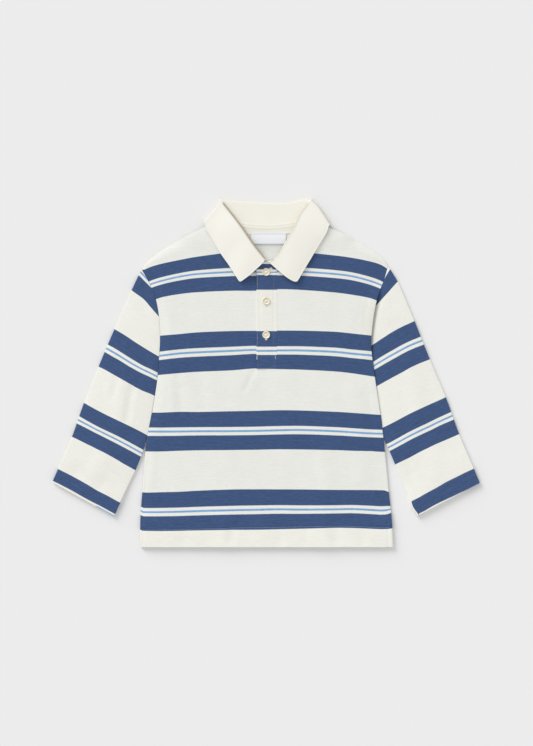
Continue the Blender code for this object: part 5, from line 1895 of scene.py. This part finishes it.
def make_stitching(front, strip, sleeves, collar, tape):
    """All the sewn lines, by name."""
    pieces = {}

    def sew(name, paths, surface, finish, pitch, radius, **settings):
        pieces[name] = sewn_lines(name, paths, surface, finish, pitch, radius, **settings)

    on_strip = Surface(strip)
    sew("hem_stitching", [hem_path()], Surface(front), HEM_THREAD, 2.6, 0.2)
    edge_x = STRIP_FREE_X + 1.0
    sew("placket_edge_stitching", [[(edge_x, SEWN_FROM_Y), (edge_x, STRIP_TOP_Y - 1.5)]],
        on_strip, WHITE_THREAD, 2.5, 0.09)
    sew("placket_seam_stitching", [[(SEWN_LINE_X, SEWN_FROM_Y), (SEWN_LINE_X, STRIP_TOP_Y - 1.5)]],
        on_strip, HEM_THREAD, 2.5, 0.06, proud=0.0)
    sew("placket_box_stitching", box_paths(), on_strip, BLUE_THREAD, 2.4, 0.11)
    bm = bmesh.new()
    bar_tack(bm, (-10.4, 19.6), (-10.4, 15.6), 0.8, on_strip, 0.16)
    bar_tack(bm, (10.9, 19.2), (10.9, 16.2), 0.5, on_strip, 0.14)
    pieces["placket_bar_tacks"] = finish_mesh(bm, "placket_bar_tacks", WHITE_THREAD, THREAD_SHARP)
    sew("collar_stitching", [leaf_seam_path(side) for side in SIDES], Surface(collar), WHITE_THREAD,
        2.4, 0.14)
    tape_paths = [[(x, neck_seam_y(x) - down) for x in range(-40, 41, 4)] for down in TAPE_LINES]
    # Real stitching; its tan thread is painted shade along the neck seam.
    sew("tape_stitching", tape_paths, Surface(tape), SHADED_TAN_THREAD, 2.2, 0.13)
    for side, name in SLEEVE_NAMES:
        sew(f"{name}_cuff_stitching", [cuff_path(side)], Surface(sleeves[side]), BLUE_THREAD, 2.5, 0.12)
    return pieces


# ================================================================ the shirt
SHIRT_BODY = "root"


def dress(piece, node):
    """Ties a piece to the body and hides the solid it replaces."""
    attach(piece, SHIRT_BODY)
    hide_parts(node)


back = cloth_piece("back_panel", BACK_COLUMNS, BACK_ROWS, back_place, JERSEY, rim=0.3)
dress(back, "back")
front = cloth_piece("front_panel", FRONT_COLUMNS, FRONT_ROWS, front_place, JERSEY, keep=in_front, rim=0.12)
dress(front, "front")
sleeves = {}
for side, name in SLEEVE_NAMES:
    sleeves[side] = cloth_piece(f"{name}_cloth", SLEEVE_COLUMNS, len(RINGS) - 1, sleeve_placer(side),
                                JERSEY, wrapped=True)
    dress(sleeves[side], name)
collar = cloth_piece("collar_cloth", COLLAR_STEPS, len(COLLAR_ROWS) - 1, collar_place, COLLAR_KNIT, rim=0.5)
dress(collar, "collar")
strip, facing = make_placket()
dress(strip, "placket_top")
dress(facing, "placket_under")
tape, label = make_neck_trim()
dress(tape, "neck_tape")
dress(label, "label")

neck_edge = make_neck_edge()
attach(neck_edge, SHIRT_BODY)
stitching = make_stitching(front, strip, sleeves, collar, tape)
for sewn in stitching.values():
    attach(sewn, SHIRT_BODY)
on_placket = Surface(strip)
disc = button_mesh()
fastenings = []
for number in (1, 2, 3):
    shell, thread, hole = make_button(number, on_placket, disc)
    dress(shell, f"button_{number}")
    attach(thread, SHIRT_BODY)
    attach(hole, SHIRT_BODY)
    fastenings += [shell, thread, hole]


# ================================================================ floor, light and camera
PICTURE_HEIGHT = 746    # pixels
PIXEL = 1.15 * MM       # size of a pixel at SCALE_Z
SCALE_Z = 4.0           # above the floor
CAMERA_AT = (0.575, -0.115)
LENS = 85.0
SENSOR = 36.0
SKY_STRENGTH = 0.735
SUN_STRENGTH = 2.4
SUN_ANGLE = 32.0        # width of the sun in degrees, for soft shadows
TOWARDS_SUN = (-0.78, 1.0, 0.53)


def make_floor():
    bm = bmesh.new()
    bmesh.ops.create_grid(bm, x_segments=8, y_segments=8, size=4.0)
    bmesh.ops.translate(bm, verts=bm.verts, vec=(0.0, 0.0, -0.0001))
    floor = finish_mesh(bm, "studio_floor", floor_paint())


def make_light():
    world = bpy.context.scene.world or bpy.data.worlds.new("studio")
    bpy.context.scene.world = world
    world.use_nodes = True
    sky = world.node_tree.nodes["Background"]
    sky.inputs["Color"].default_value = (1.0, 1.0, 1.0, 1.0)
    sky.inputs["Strength"].default_value = SKY_STRENGTH
    key = bpy.data.lights.new("key_light", "SUN")
    key.energy = SUN_STRENGTH
    key.angle = math.radians(SUN_ANGLE)
    lamp = add_object("key_light", key)
    lamp.rotation_euler = Vector(TOWARDS_SUN).to_track_quat("Z", "Y").to_euler()


def make_camera():
    """Looks straight down. The picture's height fills the sensor."""
    camera = bpy.data.cameras.new("camera")
    camera.lens = LENS
    camera.sensor_width = SENSOR
    camera.clip_end = 50.0
    holder = add_object("camera", camera)
    distance = PICTURE_HEIGHT * PIXEL * LENS / SENSOR
    holder.location = (CAMERA_AT[0] * MM, CAMERA_AT[1] * MM, distance + SCALE_Z * MM)
    bpy.context.scene.camera = holder


make_floor()
make_light()
make_camera()
bpy.context.scene.view_settings.view_transform = "Standard"
